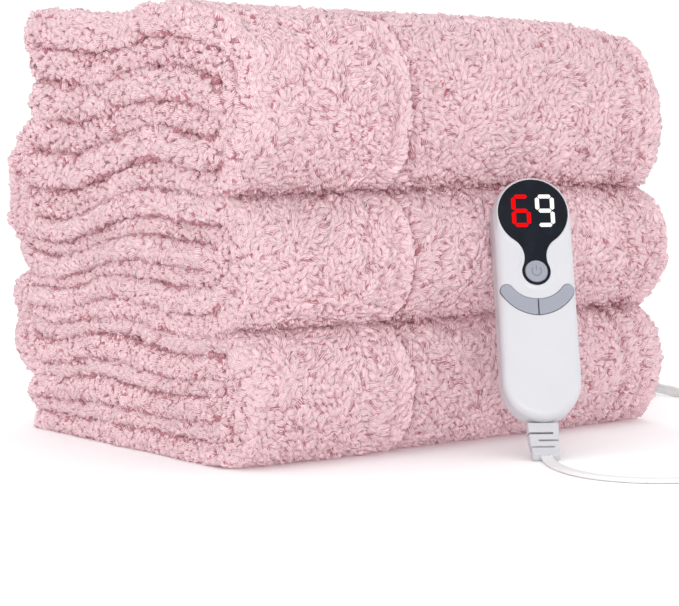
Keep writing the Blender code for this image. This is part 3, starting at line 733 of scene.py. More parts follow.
def carried(points, x):
    """Carry points of the plain section to their place in the stack, x from the layered end.

    In turn: heights follow the runs' shares, front and back; the turns take their depth, less a
    quarter of an oval at the corners; each lobe bulges by its own amount; the flap stands proud;
    the ridges rise and fall near the layered end; the top falls away to the right and the front.
    """
    y, level = points[:, 0], points[:, 1]
    knots = np.arange(len(RUNS) + 1.0) * LAYERS
    knots[0] = (1.0 - LAYER_FILL) / 2
    front = np.interp(level, knots, np.r_[0.0, np.cumsum(RUNS[:, 0])])
    back = np.interp(level, knots, np.r_[0.0, np.cumsum(RUNS[:, 1])])
    forward = ease(-y, *FRONT_GROWTH)
    height = STACK_HEIGHT * (front * forward + back * (1.0 - forward))

    front_line, back_line = STACK_DEPTH / 2 - FRONT_TURN, STACK_DEPTH / 2 - BACK_TURN
    inside = (np.clip(y, -1.0, 1.0) + 1.0) / 2.0
    place = -front_line + inside * (front_line + back_line)
    from_end = np.clip(np.minimum(x, STACK_WIDTH - x) / CORNER_LENGTH, 0.0, 1.0)
    rounded = CORNER_DEPTH * (1.0 - np.sqrt(1.0 - (1.0 - from_end) ** 2))
    place = place - np.clip(-y - 1.0, 0.0, None) / LAYERS * (FRONT_TURN - rounded)
    place = place + np.clip(y - 1.0, 0.0, None) / LAYERS * BACK_TURN

    reach = np.array([np.interp(x, LOBE_STOPS, row) for row in LOBES]) * MM
    which = np.clip(level / (2 * LAYERS) - 0.5, 0.0, len(LOBES) - 1.0)
    weight = np.clip(1.0 - np.abs(which[None, :] - np.arange(len(LOBES))[:, None]), 0.0, 1.0)
    place = place - (reach * weight).sum(axis=0) * ease(-y, *LOBE_GROWTH)
    flap = FLAP_RISE * (1.0 - ease(x, FLAP_EDGE - FLAP_SLOPE, FLAP_EDGE + FLAP_SLOPE))
    hem = sum(rise * hump(x - FLAP_EDGE, offset, width) for rise, offset, width in HEM)
    place = place - (flap + hem) * ease(-y, *FLAP_GROWTH)

    wave = np.sin(2 * math.pi * (place + WAVE_SLANT * height) / WAVE_LENGTH)
    height = height + ease(level, *WAVE_GROWTH) * WAVE_RISE * wave * np.exp(-x / WAVE_FADE)
    share = np.clip(height / STACK_HEIGHT, 0.0, None) ** 2
    droop = np.clip((x - STACK_WIDTH + TOP_DROOP_LENGTH) / TOP_DROOP_LENGTH, 0.0, None) ** 2
    height = height - share * TOP_DROOP * droop
    crown = np.clip((-place - CROWN_START) / (STACK_DEPTH / 2 - CROWN_START), 0.0, None) ** 2
    height = height - share * ease(level, *CROWN_GROWTH) * TOP_CROWN * crown
    return place, height


# ================================================================ cloth and pile
CORE = 0.97  # the ground cloth's thickness as a share of the CAD cloth's; pile fills the rest
CURL_SEAT = 0.96  # the curls of the faces start this far across the CAD cloth
FACE_INSET = 6.0 * MM  # and this far in from its two ends
CORE_INSET = 3.0 * MM  # how far its cut ends stand in
CORE_STATIONS = 34
END_STEP = 0.25  # one more station stands this share of a step in from each end
HEM_STATIONS = np.arange(-14.5, 11.0, 1.7) * MM  # more of them about the flap's edge
END_ROUNDING = 7.0 * MM  # length over which a layer's end is rounded
END_THIN = 0.35  # a layer's thickness at its very end, as a share
FLOOR_CORE = 0.995  # the lowest face comes down to this share of the CAD cloth instead of CORE,
FLOOR_LEVELS = (0.10, 0.50)  # wholly up to the first of these levels and not past the second


def throw_cloth(finish):
    """The sheet itself: the folded section carried along the stack, thinner than the CAD cloth
    by the pile on its two faces, and down on the floor below."""
    section = Section()
    count = len(section.index)
    inner = STACK_WIDTH - 2 * CORE_INSET
    steps = np.linspace(1.0, CORE_STATIONS - 1.0, CORE_STATIONS)
    share = np.r_[0.0, END_STEP, steps] / CORE_STATIONS
    stations = CORE_INSET + inner * np.r_[share, 1.0 - END_STEP / CORE_STATIONS, 1.0]
    stations = np.sort(np.r_[stations, FLAP_EDGE + HEM_STATIONS])
    from_end = np.minimum(stations, STACK_WIDTH - stations) - CORE_INSET
    round_end = np.sqrt(np.clip(1.0 - (1.0 - from_end / END_ROUNDING).clip(0.0, 1.0) ** 2, 0.0, 1.0))
    loops = []
    for distance, thick in zip(stations, END_THIN + (1.0 - END_THIN) * round_end):
        faces = []
        for side in (1.0, -1.0):
            face = section.points + side * (LAYER_FILL / 2) * section.normals
            under = 1.0 - ease(face[:, 1], *FLOOR_LEVELS)
            across = side * thick * between((CORE, FLOOR_CORE), under)
            faces.append(section.place(section.index, across, np.full(count, distance)))
        loops.append(np.vstack([faces[0], faces[1][::-1]]))
    points, faces = loft(loops, caps=False)
    points[:, 2] = np.maximum(points[:, 2], 0.0)
    ladder = np.arange(count - 1)
    ends = []
    for start in (0, (len(stations) - 1) * 2 * count):
        near, far = start + ladder, start + 2 * count - 1 - ladder
        ends.append(np.column_stack([near, near + 1, far - 1, far]))
    faces = faces + ends[0].tolist() + ends[1][:, ::-1].tolist()
    cloth = outward(mesh_piece("throw_cloth", points, faces, finish, sharp=180))
    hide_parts("throw")
    return cloth


# A curl as rings about its crown: how wide each ring is and how high it lies, as shares.
CURL_RINGS = ((1.00, -0.60), (0.72, 0.72))
CURL_SIDES = 6
CURL_TAPER = 0.38  # how much narrower a curl is at its tip than in its middle
CURL_TILT = 0.55  # how far its tip stands up and its root lies down, as a share of its height
CURL_DROOP = 0.30  # how far both its ends bend down, likewise
ROOT_TILT = 0.35  # the share of that tilt that its lowest ring takes
BEND_MIDDLE = 0.35  # moves a bent curl back, so that its middle stays near its centre
# How much curls differ, as a standard deviation: in heading, in radians, and in the slant of their
# height, their outline, their sideways bend and the height of their points, as shares.
HEADING_SPREAD = 0.45
LEAN_SPREAD = 0.20
OUTLINE_SPREAD = 0.12
BEND_SPREAD = 0.75
RISE_SPREAD = 0.08
TIP_PALENESS = 0.30  # how much paler a curl's raised tip is painted than its middle, as painted light
STRAND_BEND = 0.5 * MM  # how far the strands on a curl follow its bend
# The slow waves of the pile's lie: their wavelengths, and how far each turns it, in radians.
COMB_WAVES = ((0.130, 0.9), (0.061, 0.8), (0.027, 0.6))
COMB_BEND = 1.3  # how far a wave across each of them shifts it, in radians
FLOOR_SKIM = 0.3 * MM  # the lowest that a curl reaches


def combed(along, distance, rng):
    """The way that the pile lies at a place on the cloth, as an angle from the sheet's length: a
    sum of slow waves, so that neighbours lie alike and the pile swirls from patch to patch."""
    angle = np.zeros_like(along)
    for wavelength, swing in COMB_WAVES:
        heading, phase, other = rng.uniform(0.0, 2 * math.pi, 3)
        first, second = slanted(along, distance, heading)
        bend = COMB_BEND * np.sin(2 * math.pi * second / wavelength + other)
        angle = angle + swing * np.sin(2 * math.pi * first / wavelength + phase + bend)
    return angle


def curls(name, place, heading, half_length, half_width, height, rng, finish, pale=0.0):
    """Joined curls of pile, each a bent leaf that lies on the cloth with its tip raised.

    place gives each curl's centre, two directions along the cloth there and one out of it. A point
    of a curl is the centre plus its ring's share of the half length and half width along the turned
    axes, narrower towards the tip, bent sideways by the square of its place along the curl, plus
    its height along the surface's normal. The height grows towards the tip, less a droop that grows
    with the square of that place. None goes under the floor. pale adds to how pale each curl is.
    """
    centre, first, second, out = place()
    normal = np.cross(first, second)
    normal = unit(normal * np.sign(np.einsum("ij,ij->i", normal, out))[:, None])
    first = unit(first)
    second = np.cross(normal, first)
    count = len(centre)
    heading = (heading + rng.normal(0.0, HEADING_SPREAD, count))[:, None]
    along = np.cos(heading) * first + np.sin(heading) * second
    aside = np.cross(normal, along)
    lean = rng.normal(0.0, LEAN_SPREAD, (count, 2))
    up = normal + lean[:, :1] * along + lean[:, 1:] * aside

    ring_share, ring_height = np.array(CURL_RINGS).T
    sweep = np.arange(CURL_SIDES) * 2 * math.pi / CURL_SIDES
    wobble = 1.0 + rng.normal(0.0, OUTLINE_SPREAD, (count, len(ring_share), CURL_SIDES))
    a = ring_share[None, :, None] * np.cos(sweep) * wobble
    b = ring_share[None, :, None] * np.sin(sweep) * wobble * (1.0 - CURL_TAPER * a)
    bend = rng.normal(0.0, BEND_SPREAD, count)[:, None, None]
    b = b + bend * (a * a - BEND_MIDDLE)
    tilted = CURL_TILT * a * np.where(ring_height < 0.0, ROOT_TILT, 1.0)[None, :, None]
    rise = ring_height[None, :, None] + tilted - CURL_DROOP * a ** 2
    rise = rise + rng.normal(0.0, RISE_SPREAD, a.shape)
    local_a, local_b = a * half_length[:, None, None], b * half_width[:, None, None]
    points = (centre[:, None, None, :] + local_a[..., None] * along[:, None, None, :]
              + local_b[..., None] * aside[:, None, None, :]
              + (rise * height[:, None, None])[..., None] * up[:, None, None, :])
    points[..., 2] = np.maximum(points[..., 2], FLOOR_SKIM)

    rings = len(ring_share)
    template = grid_quads(rings, CURL_SIDES, closed_columns=True)
    top = (rings - 1) * CURL_SIDES
    cap = np.array([(top + i, top + i + 1, top + CURL_SIDES - 2 - i, top + CURL_SIDES - 1 - i)
                    for i in range(CURL_SIDES // 2 - 1)])
    template = np.vstack([template, cap])
    size = rings * CURL_SIDES
    quads = (np.arange(count)[:, None, None] * size + template[None]).reshape(-1, 4)
    obj = quad_piece(name, points.reshape(-1, 3), quads, finish)
    # lift carries painted light and shade: dark low in the pile, pale at the raised tips, plus each
    # curl's pale.
    lift = ring_height[None, :, None] + TIP_PALENESS * a + np.reshape(pale, (-1, 1, 1))
    set_attribute(obj, "lift", "FLOAT", lift)
    shift = rng.uniform(0.0, 1.0, (count, 1, 1))
    strand = np.stack([local_a + shift, local_b - bend * STRAND_BEND + 3 * shift,
                       np.broadcast_to(shift, a.shape)], axis=-1)
    set_attribute(obj, "strand", "FLOAT_VECTOR", strand)
    return obj


JITTER = 0.36  # how far a curl may stand from its place in the grid, as a share of the spacing


def scattered(length, width, spacing, rng):
    """Places over a rectangle on a staggered grid, each moved by up to JITTER of the spacing."""
    rows = max(1, round(length / (spacing * math.sqrt(3) / 2)))
    columns = max(1, round(width / spacing))
    r, c = np.meshgrid(np.arange(rows), np.arange(columns), indexing="ij")
    u = (r.ravel() + 0.5) / rows * length
    v = (c.ravel() + 0.25 + 0.5 * (r.ravel() % 2)) / columns * width
    jitter = rng.uniform(-JITTER, JITTER, (2, len(u))) * spacing
    return u + jitter[0], np.clip(v + jitter[1], 0.0, width)


VALLEYS = (2 * LAYERS, 4 * LAYERS)  # the levels of the valleys between the front lobes
VALLEY_WIDTH = 0.55


def valley(point):
    """1 in the valleys between the front lobes, falling to 0 within about a layer: where painted shade
    darkens the pile.
    """
    away = np.min([np.abs(point[:, 1] - level) for level in VALLEYS], axis=0)
    return hump(away, 0.0, VALLEY_WIDTH) * (point[:, 0] < 0.0)


CLUMP_SHARE = 2.1  # how much closer than the cloth's swells the clumps of pile follow each other
PARTING = 0.11  # half width of the partings between them, where the swells run from -1 to 1


def parted(along, distance):
    """1 on the winding lines where the pile parts between its clumps, and 0 inside the clumps."""
    return hump(lumps(CLUMP_SHARE * along, CLUMP_SHARE * distance), 0.0, PARTING)


# The flap's hem: its line of stitches, its band and the crease beside it, each with its width.
HEM_STITCH, HEM_BAND, HEM_CREASE = (FLAP_EDGE + offset for _, offset, _ in HEM)
HEM_STITCH_WIDTH = 2.6 * MM
HEM_BAND_WIDTH = 5.5 * MM
HEM_CREASE_WIDTH = 3.0 * MM
RIGHT_STITCHES = (0.3000, 0.3175)  # two rows of stitches in the right-hand hem
STITCH_PITCH = 9.0 * MM
STITCH_WIDTH = 3.2 * MM
ROW_DEPTH = 0.35  # how deep a row is between its stitches, as a share
# How far each of them pulls the pile down, as a share.
LINE_PULL, CREASE_PULL, BAND_PULL, DIMPLE_PULL = 0.55, 0.6, 0.45, 0.8


def hem_band(distance):
    """1 in the middle of the flap's hem, and 0 away from it."""
    return np.exp(-((distance - HEM_BAND) / HEM_BAND_WIDTH) ** 4)


def hem_crease(distance):
    """1 in the crease beside the flap's hem, and 0 away from it."""
    return hump(distance, HEM_CREASE, HEM_CREASE_WIDTH)


def dimples(along, distance):
    """1 at a stitch of the right-hand hem, about a third between stitches, 0 away from its rows."""
    rows = sum(hump(distance, row, STITCH_WIDTH) for row in RIGHT_STITCHES)
    stitch = np.clip(np.cos(2 * math.pi * along / STITCH_PITCH), 0.0, None)
    return rows * (ROW_DEPTH + (1.0 - ROW_DEPTH) * stitch)


def stitched(along, distance):
    """How far the hems pull the pile down, 0 to 1: the flap's stitches, crease and band, and the
    dimples of the right-hand hem."""
    pulled = LINE_PULL * hump(distance, HEM_STITCH, HEM_STITCH_WIDTH)
    pulled = pulled + CREASE_PULL * hem_crease(distance) + BAND_PULL * hem_band(distance)
    return np.clip(pulled + DIMPLE_PULL * dimples(along, distance), 0.0, 1.0)


FRONT_TURNS = (3.0, 9.0, 15.0)  # the levels of the turns' centres in front
BACK_TURNS = (6.0, 12.0)  # and behind
HEM_RUNS = (1.5, 16.5)  # the middles of the lowest and highest run, which end behind in the hems
HEM_REACH = 1.2  # what isn't further back than this, along a layer, lies inside those ends
MOUTH_FRONT = -0.62  # from here forwards a valley of the front is open
MOUTH_BACK = 0.72  # and from here backwards one of the back
MOUTH_HALF = 0.3  # half the height of a valley's mouth, in layers
FLOOR_LEVEL = 0.3  # faces below this level lie on the floor,
FLOOR_FRONT = -1.7  # but for the rounded edge in front of this


def is_outside(point, across):
    """Whether a face point of the plain section shows on the outside of the stack.

    A point shows where half a pitch further out along its face lies outside the runs and outside
    the turns, or where it lies in the mouth of a valley between two lobes.
    """
    y, level = point[:, 0], point[:, 1]
    out_y, out_level = across[:, 0] * 0.5 + y, across[:, 1] * 0.5 + level
    inside = (np.abs(out_y) <= 1.0) & (out_level >= 0.0) & (out_level <= LEVELS)
    for centres, side in ((FRONT_TURNS, -1.0), (BACK_TURNS, 1.0)):
        for centre in centres:
            near = np.hypot(out_y - side, out_level - centre) < LAYERS
            inside |= (side * out_y > 1.0) & near
    for centre in HEM_RUNS:
        near = np.abs(out_level - centre) < LAYERS / 2
        inside |= (out_y > 1.0) & (out_y < HEM_REACH) & near
    from_front, from_back = (np.abs((level + shift) % (2 * LAYERS) - LAYERS)
                             for shift in (LAYERS, 0.0))
    front_valley = (y < MOUTH_FRONT) & (from_front < MOUTH_HALF) & (level > 1.0)
    back_valley = (y > MOUTH_BACK) & (from_back < MOUTH_HALF)
    on_floor = (level < FLOOR_LEVEL) & (y > FLOOR_FRONT)
    return (~inside | front_valley | back_valley) & ~on_floor


# Curls of the faces: the least and the most half width as a share of the spacing, half length as
# a share of the half width, and height as a share of the set height.
FACE_WIDTHS, FACE_LENGTHS, FACE_HEIGHTS = (0.52, 0.80), (1.5, 2.3), (0.7, 1.25)
PULLED_WIDTH, PULLED_HEIGHT = 0.15, 0.72  # how much the hems' pull takes off width and height
FACE_RISE, GAP_FALL = 1.12, 0.55  # how high they stand, and how much a parting takes off that
END_ROOM = 2.0 * MM  # they stop this far short of the throw's ends
CORNER_STRETCH = (10.0 * MM, 22.0 * MM)  # the corners fade out between these distances from an end
BAND_CLOSED = 0.8  # how far the hem's band closes the partings
DIMPLE_DEPTH = 0.25  # how far a dimple sinks, as a share of about half the cloth's thickness
FACE_PALE = 0.46  # how pale they are, and the painted light or shade that each feature adds to it
# Painted highlights on the rounded corners and the hem's raised band; painted shade in the partings,
# dimples, crease and valleys.
CORNER_HIGHLIGHT, PARTING_SHADE, BAND_HIGHLIGHT = 0.15, -0.75, 0.3
DIMPLE_SHADE, CREASE_SHADE, VALLEY_SHADE = -1.1, -0.9, -1.3
FACE_STEP = 1.5 * MM  # the directions along the cloth are taken over this step on either side


def outer_pile(name, settings, region, spacing, seed, finish):
    """Curls over those outer faces of the cloth that lie in a region of the stack."""
    rng = np.random.default_rng(seed)
    section = Section()
    kept = []
    for side in (1.0, -1.0):
        along, distance = scattered(section.length[-1], STACK_WIDTH - 2 * FACE_INSET, spacing, rng)
        along, distance = np.clip(along, 0.0, section.length[-1]), distance + FACE_INSET
        index = section.index_at(along)
        point, normal = section.at(index)
        face = point + side * (LAYER_FILL / 2) * normal
        keep = is_outside(face, side * normal) & region(face)
        kept.append(np.column_stack([index, along, distance, np.full(len(along), side)])[keep])
    index, along, distance, side = np.vstack(kept).T
    pulled = stitched(along, distance)

    def place():
        across = side * CURL_SEAT
        before, after = (section.index_at(along + step) for step in (-FACE_STEP, FACE_STEP))
        centre = section.place(index, across, distance)
        first = section.place(after, across, distance) - section.place(before, across, distance)
        second = (section.place(index, across, distance + FACE_STEP)
                  - section.place(index, across, distance - FACE_STEP))
        out = centre - section.place(index, 0.0 * side, distance)
        sunk = DIMPLE_DEPTH * out * dimples(along, distance)[:, None]
        return centre - sunk, first, second, out

    count = len(index)
    from_end = np.minimum(distance, STACK_WIDTH - distance)
    corner = 1.0 - ease(from_end, *CORNER_STRETCH)
    band = hem_band(distance)
    gap = parted(along, distance) * (1.0 - BAND_CLOSED * band) * (1.0 - corner)
    size = spacing * rng.uniform(*FACE_WIDTHS, count) * (1.0 - PULLED_WIDTH * pulled)
    height = settings.curl_height * rng.uniform(*FACE_HEIGHTS, count)
    height = height * (1.0 - PULLED_HEIGHT * pulled) * (FACE_RISE - GAP_FALL * gap)
    length = np.minimum(size * rng.uniform(*FACE_LENGTHS, count), from_end - END_ROOM)
    # Painted light and shade, carried to the curls' colour by their lift.
    pale = FACE_PALE + CORNER_HIGHLIGHT * corner + PARTING_SHADE * gap + BAND_HIGHLIGHT * band
    pale = pale + DIMPLE_SHADE * dimples(along, distance) + CREASE_SHADE * hem_crease(distance)
    pale = pale + VALLEY_SHADE * valley(section.at(index)[0])
    return curls(name, place, combed(along, distance, rng), length, size, height, rng, finish, pale)


END_REACH = 5.0 * MM  # how far the pile of a cut end goes on between the layers
END_SEAT = 0.96  # the curls of the ends stand this far across the CAD cloth
END_ROUND_SHARE = 0.6  # how deep the round of an end is, as a share of half its thickness
END_SWELL = 1.3 * MM  # how far an end swells and sinks along its length,
END_SWELL_PACE = 0.7  # and how fast, against the swells of the faces
# Curls of the ends and hems, as for the faces. Those that show are pale, and those deep between
# two layers get painted shade.
END_WIDTHS, END_LENGTHS, END_HEIGHTS = (0.60, 0.92), (1.0, 1.45), (0.7, 1.1)
HEM_LENGTHS = (1.4, 2.0)
END_RISE, END_GAP_FALL = 1.08, 0.35
# Away from the middle of the way round an end, they get painted shade past the first of these
# shares of it and are pale up to the second.
CROWN_SHARES = (0.36, 0.16)
DEEP_SHADE, CROWN_TONE, CROWN_PARTING_SHADE = -0.55, 0.95, 0.45
SIDE_STEP = 1.0 * MM  # as FACE_STEP, for the ends and hems


def end_pile(name, settings, at_left, spacing, seed, finish):
    """Curls round the layers' ends: on half an oval about each layer's end, and a little way in
    between the layers on both faces."""
    rng = np.random.default_rng(seed)
    section = Section()
    pitch = STACK_HEIGHT / LEVELS
    radius = LAYER_FILL / 2 * pitch
    profile = math.pi * radius + 2 * END_REACH
    along, over = scattered(section.length[-1], profile, spacing, rng)
    along = np.clip(along, 0.0, section.length[-1])
    index = section.index_at(along)

    def surface(index, over):
        around = np.clip(over - END_REACH, 0.0, math.pi * radius) / radius - math.pi / 2
        beyond = np.clip(END_REACH - over, 0.0, None) + np.clip(over - END_REACH - math.pi * radius,
                                                                0.0, None)
        at = np.interp(index, section.index, section.length)
        swell = END_SWELL * lumps(at * END_SWELL_PACE, over)
        depth = CORE_INSET + END_ROUND_SHARE * radius * (1.0 - np.cos(around)) + beyond - swell
        return from_end(index, END_SEAT * np.sin(around), np.clip(depth, 0.0, None))

    def from_end(index, across, depth):
        return section.place(index, across, depth if at_left else STACK_WIDTH - depth)

    def place():
        before, after = (section.index_at(along + step) for step in (-SIDE_STEP, SIDE_STEP))
        first = surface(after, over) - surface(before, over)
        second = surface(index, over + SIDE_STEP) - surface(index, over - SIDE_STEP)
        centre = surface(index, over)
        return centre, first, second, centre - from_end(index, np.zeros(len(index)),
                                                        np.full(len(index), 2.0 * radius))

    count = len(index)
    size = spacing * rng.uniform(*END_WIDTHS, count)
    height = settings.curl_height * rng.uniform(*END_HEIGHTS, count)
    point, normal = section.at(index)
    facing = np.where(over < profile / 2, -1.0, 1.0)[:, None] * normal
    shown = is_outside(point + LAYER_FILL / 2 * facing, facing)
    crown = ease(np.abs(over - profile / 2), *(profile * share for share in CROWN_SHARES))
    crown = np.maximum(crown, shown)
    gap = parted(along, over) * ~shown
    height = height * (END_RISE - END_GAP_FALL * gap)
    # Painted shade: dark deep between the layers and in the partings, pale where the curls show.
    pale = DEEP_SHADE + crown * (CROWN_TONE - CROWN_PARTING_SHADE * gap)
    return curls(name, place, combed(along, over, rng), size * rng.uniform(*END_LENGTHS, count),
                 size, height, rng, finish, pale)


HEM_ROUND = 2.6 * MM  # how far the pile of a hem stands out in the middle of its thickness
HEM_FACES = 0.95  # how near the two faces it goes, as a share of half the thickness
ACROSS_STEP = 0.1  # as SIDE_STEP, across the cloth, in the same shares


def hem_pile(name, settings, spacing, seed, finish):
    """Curls over the sheet's two hems, which lie at the back: from face to face, standing out by
    half an oval."""
    rng = np.random.default_rng(seed)
    section = Section()
    thickness = LAYER_FILL * STACK_HEIGHT / LEVELS
    over, distance = scattered(thickness, STACK_WIDTH - 2 * FACE_INSET, spacing, rng)
    over, distance = np.tile(over, 2), np.tile(distance + FACE_INSET, 2)
    across = np.clip(2.0 * over / thickness - 1.0, -HEM_FACES, HEM_FACES)
    last = section.index[-1]
    index = np.repeat([0.0, last], len(over) // 2)
    inner = np.repeat([1.0, last - 1.0], len(over) // 2)

    def place():
        edge = section.place(index, CORE * across, distance)
        out = unit(edge - section.place(inner, CORE * across, distance))
        seat = section.place(index, across, distance)
        first = section.place(index, across + ACROSS_STEP, distance) - seat
        second = section.place(index, across, distance + SIDE_STEP) - seat
        return edge + out * (HEM_ROUND * np.sqrt(1.0 - across ** 2))[:, None], first, second, out

    count = len(index)
    size = spacing * rng.uniform(*END_WIDTHS, count)
    height = settings.curl_height * rng.uniform(*END_HEIGHTS, count)
    return curls(name, place, combed(over, distance, rng), size * rng.uniform(*HEM_LENGTHS, count),
                 size, height, rng, finish)


SPACINGS = (1.0, 1.06, 1.35)  # of the front and top, the left end, and what stands further off
FRONT_END = -0.3  # the pieces of the front reach back to here, along a layer
FRONT_SPLIT = 7.5  # the level where the low front piece meets the high one
TOP_LEVEL = 17.0  # behind them the top's piece lies above this level


def throw_pile(settings, finish):
    """The pile on every outer face and end, in pieces that stay small enough to keep whole."""
    near, end, wide = (settings.curl_spacing * share for share in SPACINGS)
    regions = (
        ("pile_front_low", lambda p: (p[:, 0] <= FRONT_END) & (p[:, 1] < FRONT_SPLIT), near),
        ("pile_front_high", lambda p: (p[:, 0] <= FRONT_END) & (p[:, 1] >= FRONT_SPLIT), near),
        ("pile_top", lambda p: (p[:, 0] > FRONT_END) & (p[:, 1] > TOP_LEVEL), near),
        ("pile_back", lambda p: (p[:, 0] > FRONT_END) & (p[:, 1] <= TOP_LEVEL), wide),
    )
    made = [outer_pile(name, settings, region, spacing, settings.seed + i, finish)
            for i, (name, region, spacing) in enumerate(regions)]
    made.append(end_pile("pile_left_end", settings, True, end, settings.seed + 5, finish))
    made.append(end_pile("pile_right_end", settings, False, wide, settings.seed + 6, finish))
    made.append(hem_pile("pile_hems", settings, near, settings.seed + 7, finish))
    return made


# ================================================================ outlines on the controller's face
def arc(centre, radius, start, end, steps):
    """Points on an arc in the face's plane, both ends included."""
    angles = np.linspace(start, end, steps + 1)
    return np.column_stack([centre[0] + radius * np.cos(angles), centre[1] + radius * np.sin(angles)])


def body_outline(inset=0.0, steps=40):
    """The body from the front: a half circle above, straight sides and half an oval below."""
    half = BODY_HALF_WIDTH - inset
    top = arc((0.0, BODY_LENGTH - BODY_HALF_WIDTH), half, 0.0, math.pi, steps)
    sweep = np.linspace(math.pi, 2 * math.pi, steps + 1)
    low = np.column_stack([half * np.cos(sweep), END_ROUND + (END_ROUND - inset) * np.sin(sweep)])
    return np.vstack([top, low])


def keyhole(grow=0.0):
    """The display's outline: a large and a small circle joined by two hollow fillets."""
    big, small = DISPLAY_RADIUS + grow, KEY_RING_RADIUS + grow
    fillet = NECK_FILLET - grow
    gap = DISPLAY_HEIGHT - POWER_HEIGHT
    to_big, to_small = big + fillet, small + fillet
    down = (to_big ** 2 - to_small ** 2 + gap ** 2) / (2 * gap)
    across = math.sqrt(to_big ** 2 - down ** 2)
    upper, lower = math.atan2(-down, across), math.atan2(gap - down, across)
    top = arc((0.0, DISPLAY_HEIGHT), big, upper, math.pi - upper, 84)
    left = arc((-across, DISPLAY_HEIGHT - down), fillet, -upper, -lower, 18)
    under = arc((0.0, POWER_HEIGHT), small, math.pi - lower, 2 * math.pi + lower, 48)
    right = arc((across, DISPLAY_HEIGHT - down), fillet, math.pi + lower, math.pi + upper, 18)
    return np.vstack([top, left[1:-1], under, right[1:-1]])


def smile_key(side, grow=0.0, steps=24):
    """One of the two level keys: an arc-shaped bar about the power button with a round tip."""
    start = (SMILE_SPLIT / 2 - grow) / SMILE_RADIUS
    angles = np.linspace(start, SMILE_HALF_ANGLE, steps + 1)
    half = between(SMILE_HALF_WIDTH, angles / SMILE_HALF_ANGLE) + grow
    ray = np.column_stack([np.sin(angles), -np.cos(angles)])
    inner, outer = (SMILE_RADIUS - half)[:, None] * ray, (SMILE_RADIUS + half)[:, None] * ray
    outwards = SMILE_HALF_ANGLE - math.pi / 2
    cap = arc(SMILE_RADIUS * ray[-1], half[-1], outwards, outwards + math.pi, 16)
    outline = np.vstack([outer, cap[1:-1], inner[::-1]])
    return outline * [side, 1.0] + [0.0, POWER_HEIGHT]


def raised(outline, depth):
    """An outline in the face's plane as 3D points, set at one depth or at one for each point."""
    return np.column_stack([outline[:, 0], np.broadcast_to(depth, len(outline)), outline[:, 1]])


def prism_piece(name, outline, front, back, finish, body=BODY, sharp=40):
    """An outline carried straight from one depth to another."""
    points, faces = loft([raised(outline, front), raised(outline, back)])
    return outward(mesh_piece(name, points, faces, finish, body, sharp=sharp))


# ================================================================ the hand controller
def shell_half(name, thickness, forward, finish):
    """Half of the body: straight up from the parting line, round at the edge, flat in front."""
    rounding = np.linspace(0.0, math.pi / 2, 12)
    soft = 0.25 * MM
    loops = [raised(body_outline(soft), forward * GAP / 2),
             raised(body_outline(), forward * (GAP / 2 + soft))]
    loops += [raised(body_outline(EDGE_ROUND * (1.0 - math.cos(a))),
                     forward * (thickness - EDGE_ROUND * (1.0 - math.sin(a)))) for a in rounding]
    loops.append(raised(body_outline(EDGE_ROUND + 0.5 * MM), forward * thickness))
    points, faces = loft(loops)
    return outward(mesh_piece(name, points, faces, finish, None))


def from_edge(points):
    """How far points of the face lie in from the body's edge, round the top and at the sides."""
    from_middle = np.where(points[:, 1] > DISPLAY_HEIGHT,
                           np.hypot(points[:, 0], points[:, 1] - DISPLAY_HEIGHT),
                           np.abs(points[:, 0]))
    return BODY_HALF_WIDTH - from_middle


def shell_depth(points):
    """How far the front shell's surface lies under its flat face: 0 away from the edge, and the
    drop of a quarter circle within EDGE_ROUND of it."""
    inset = np.clip(from_edge(points), 0.0, EDGE_ROUND)
    return EDGE_ROUND - np.sqrt(EDGE_ROUND ** 2 - (EDGE_ROUND - inset) ** 2)


RIM_SLOPE = 2.6 * MM  # how far the rim's slope goes on past its width
# The rim's height above the shell, as a share, at shares of the way from the display outwards.
RIM_PROFILE = ((0.08, 1.0), (0.2, 1.0), (0.32, 0.97), (0.42, 0.80), (0.52, 0.52),
               (0.66, 0.26), (0.82, 0.08), (1.0, -0.06))


def display_rim(finish):
    """The raised lip round the display, which falls away in a soft slope to the shell."""
    inner = keyhole()
    room = np.clip(from_edge(inner) - 0.35 * MM, RIM_WIDTH + 0.2 * MM, RIM_WIDTH + RIM_SLOPE)
    out = unit(keyhole(0.1 * MM) - inner)
    loops = [raised(inner, RIM_TOP + 2.4 * MM), raised(inner, RIM_TOP + 0.15 * MM)]
    for share, lip in RIM_PROFILE:
        at = inner + out * (room * share)[:, None]
        under = FACE + shell_depth(at)
        loops.append(raised(at, under + (RIM_TOP - under) * lip))
    outer = inner + out * room[:, None]
    loops.append(raised(outer, FACE + shell_depth(outer) + 1.0 * MM))
    points = np.asarray(loops).reshape(-1, 3)
    faces = grid_quads(len(loops), len(inner), closed_rows=True, closed_columns=True).tolist()
    rim = outward(mesh_piece("display_rim", posed(points), faces, finish))
    return rim


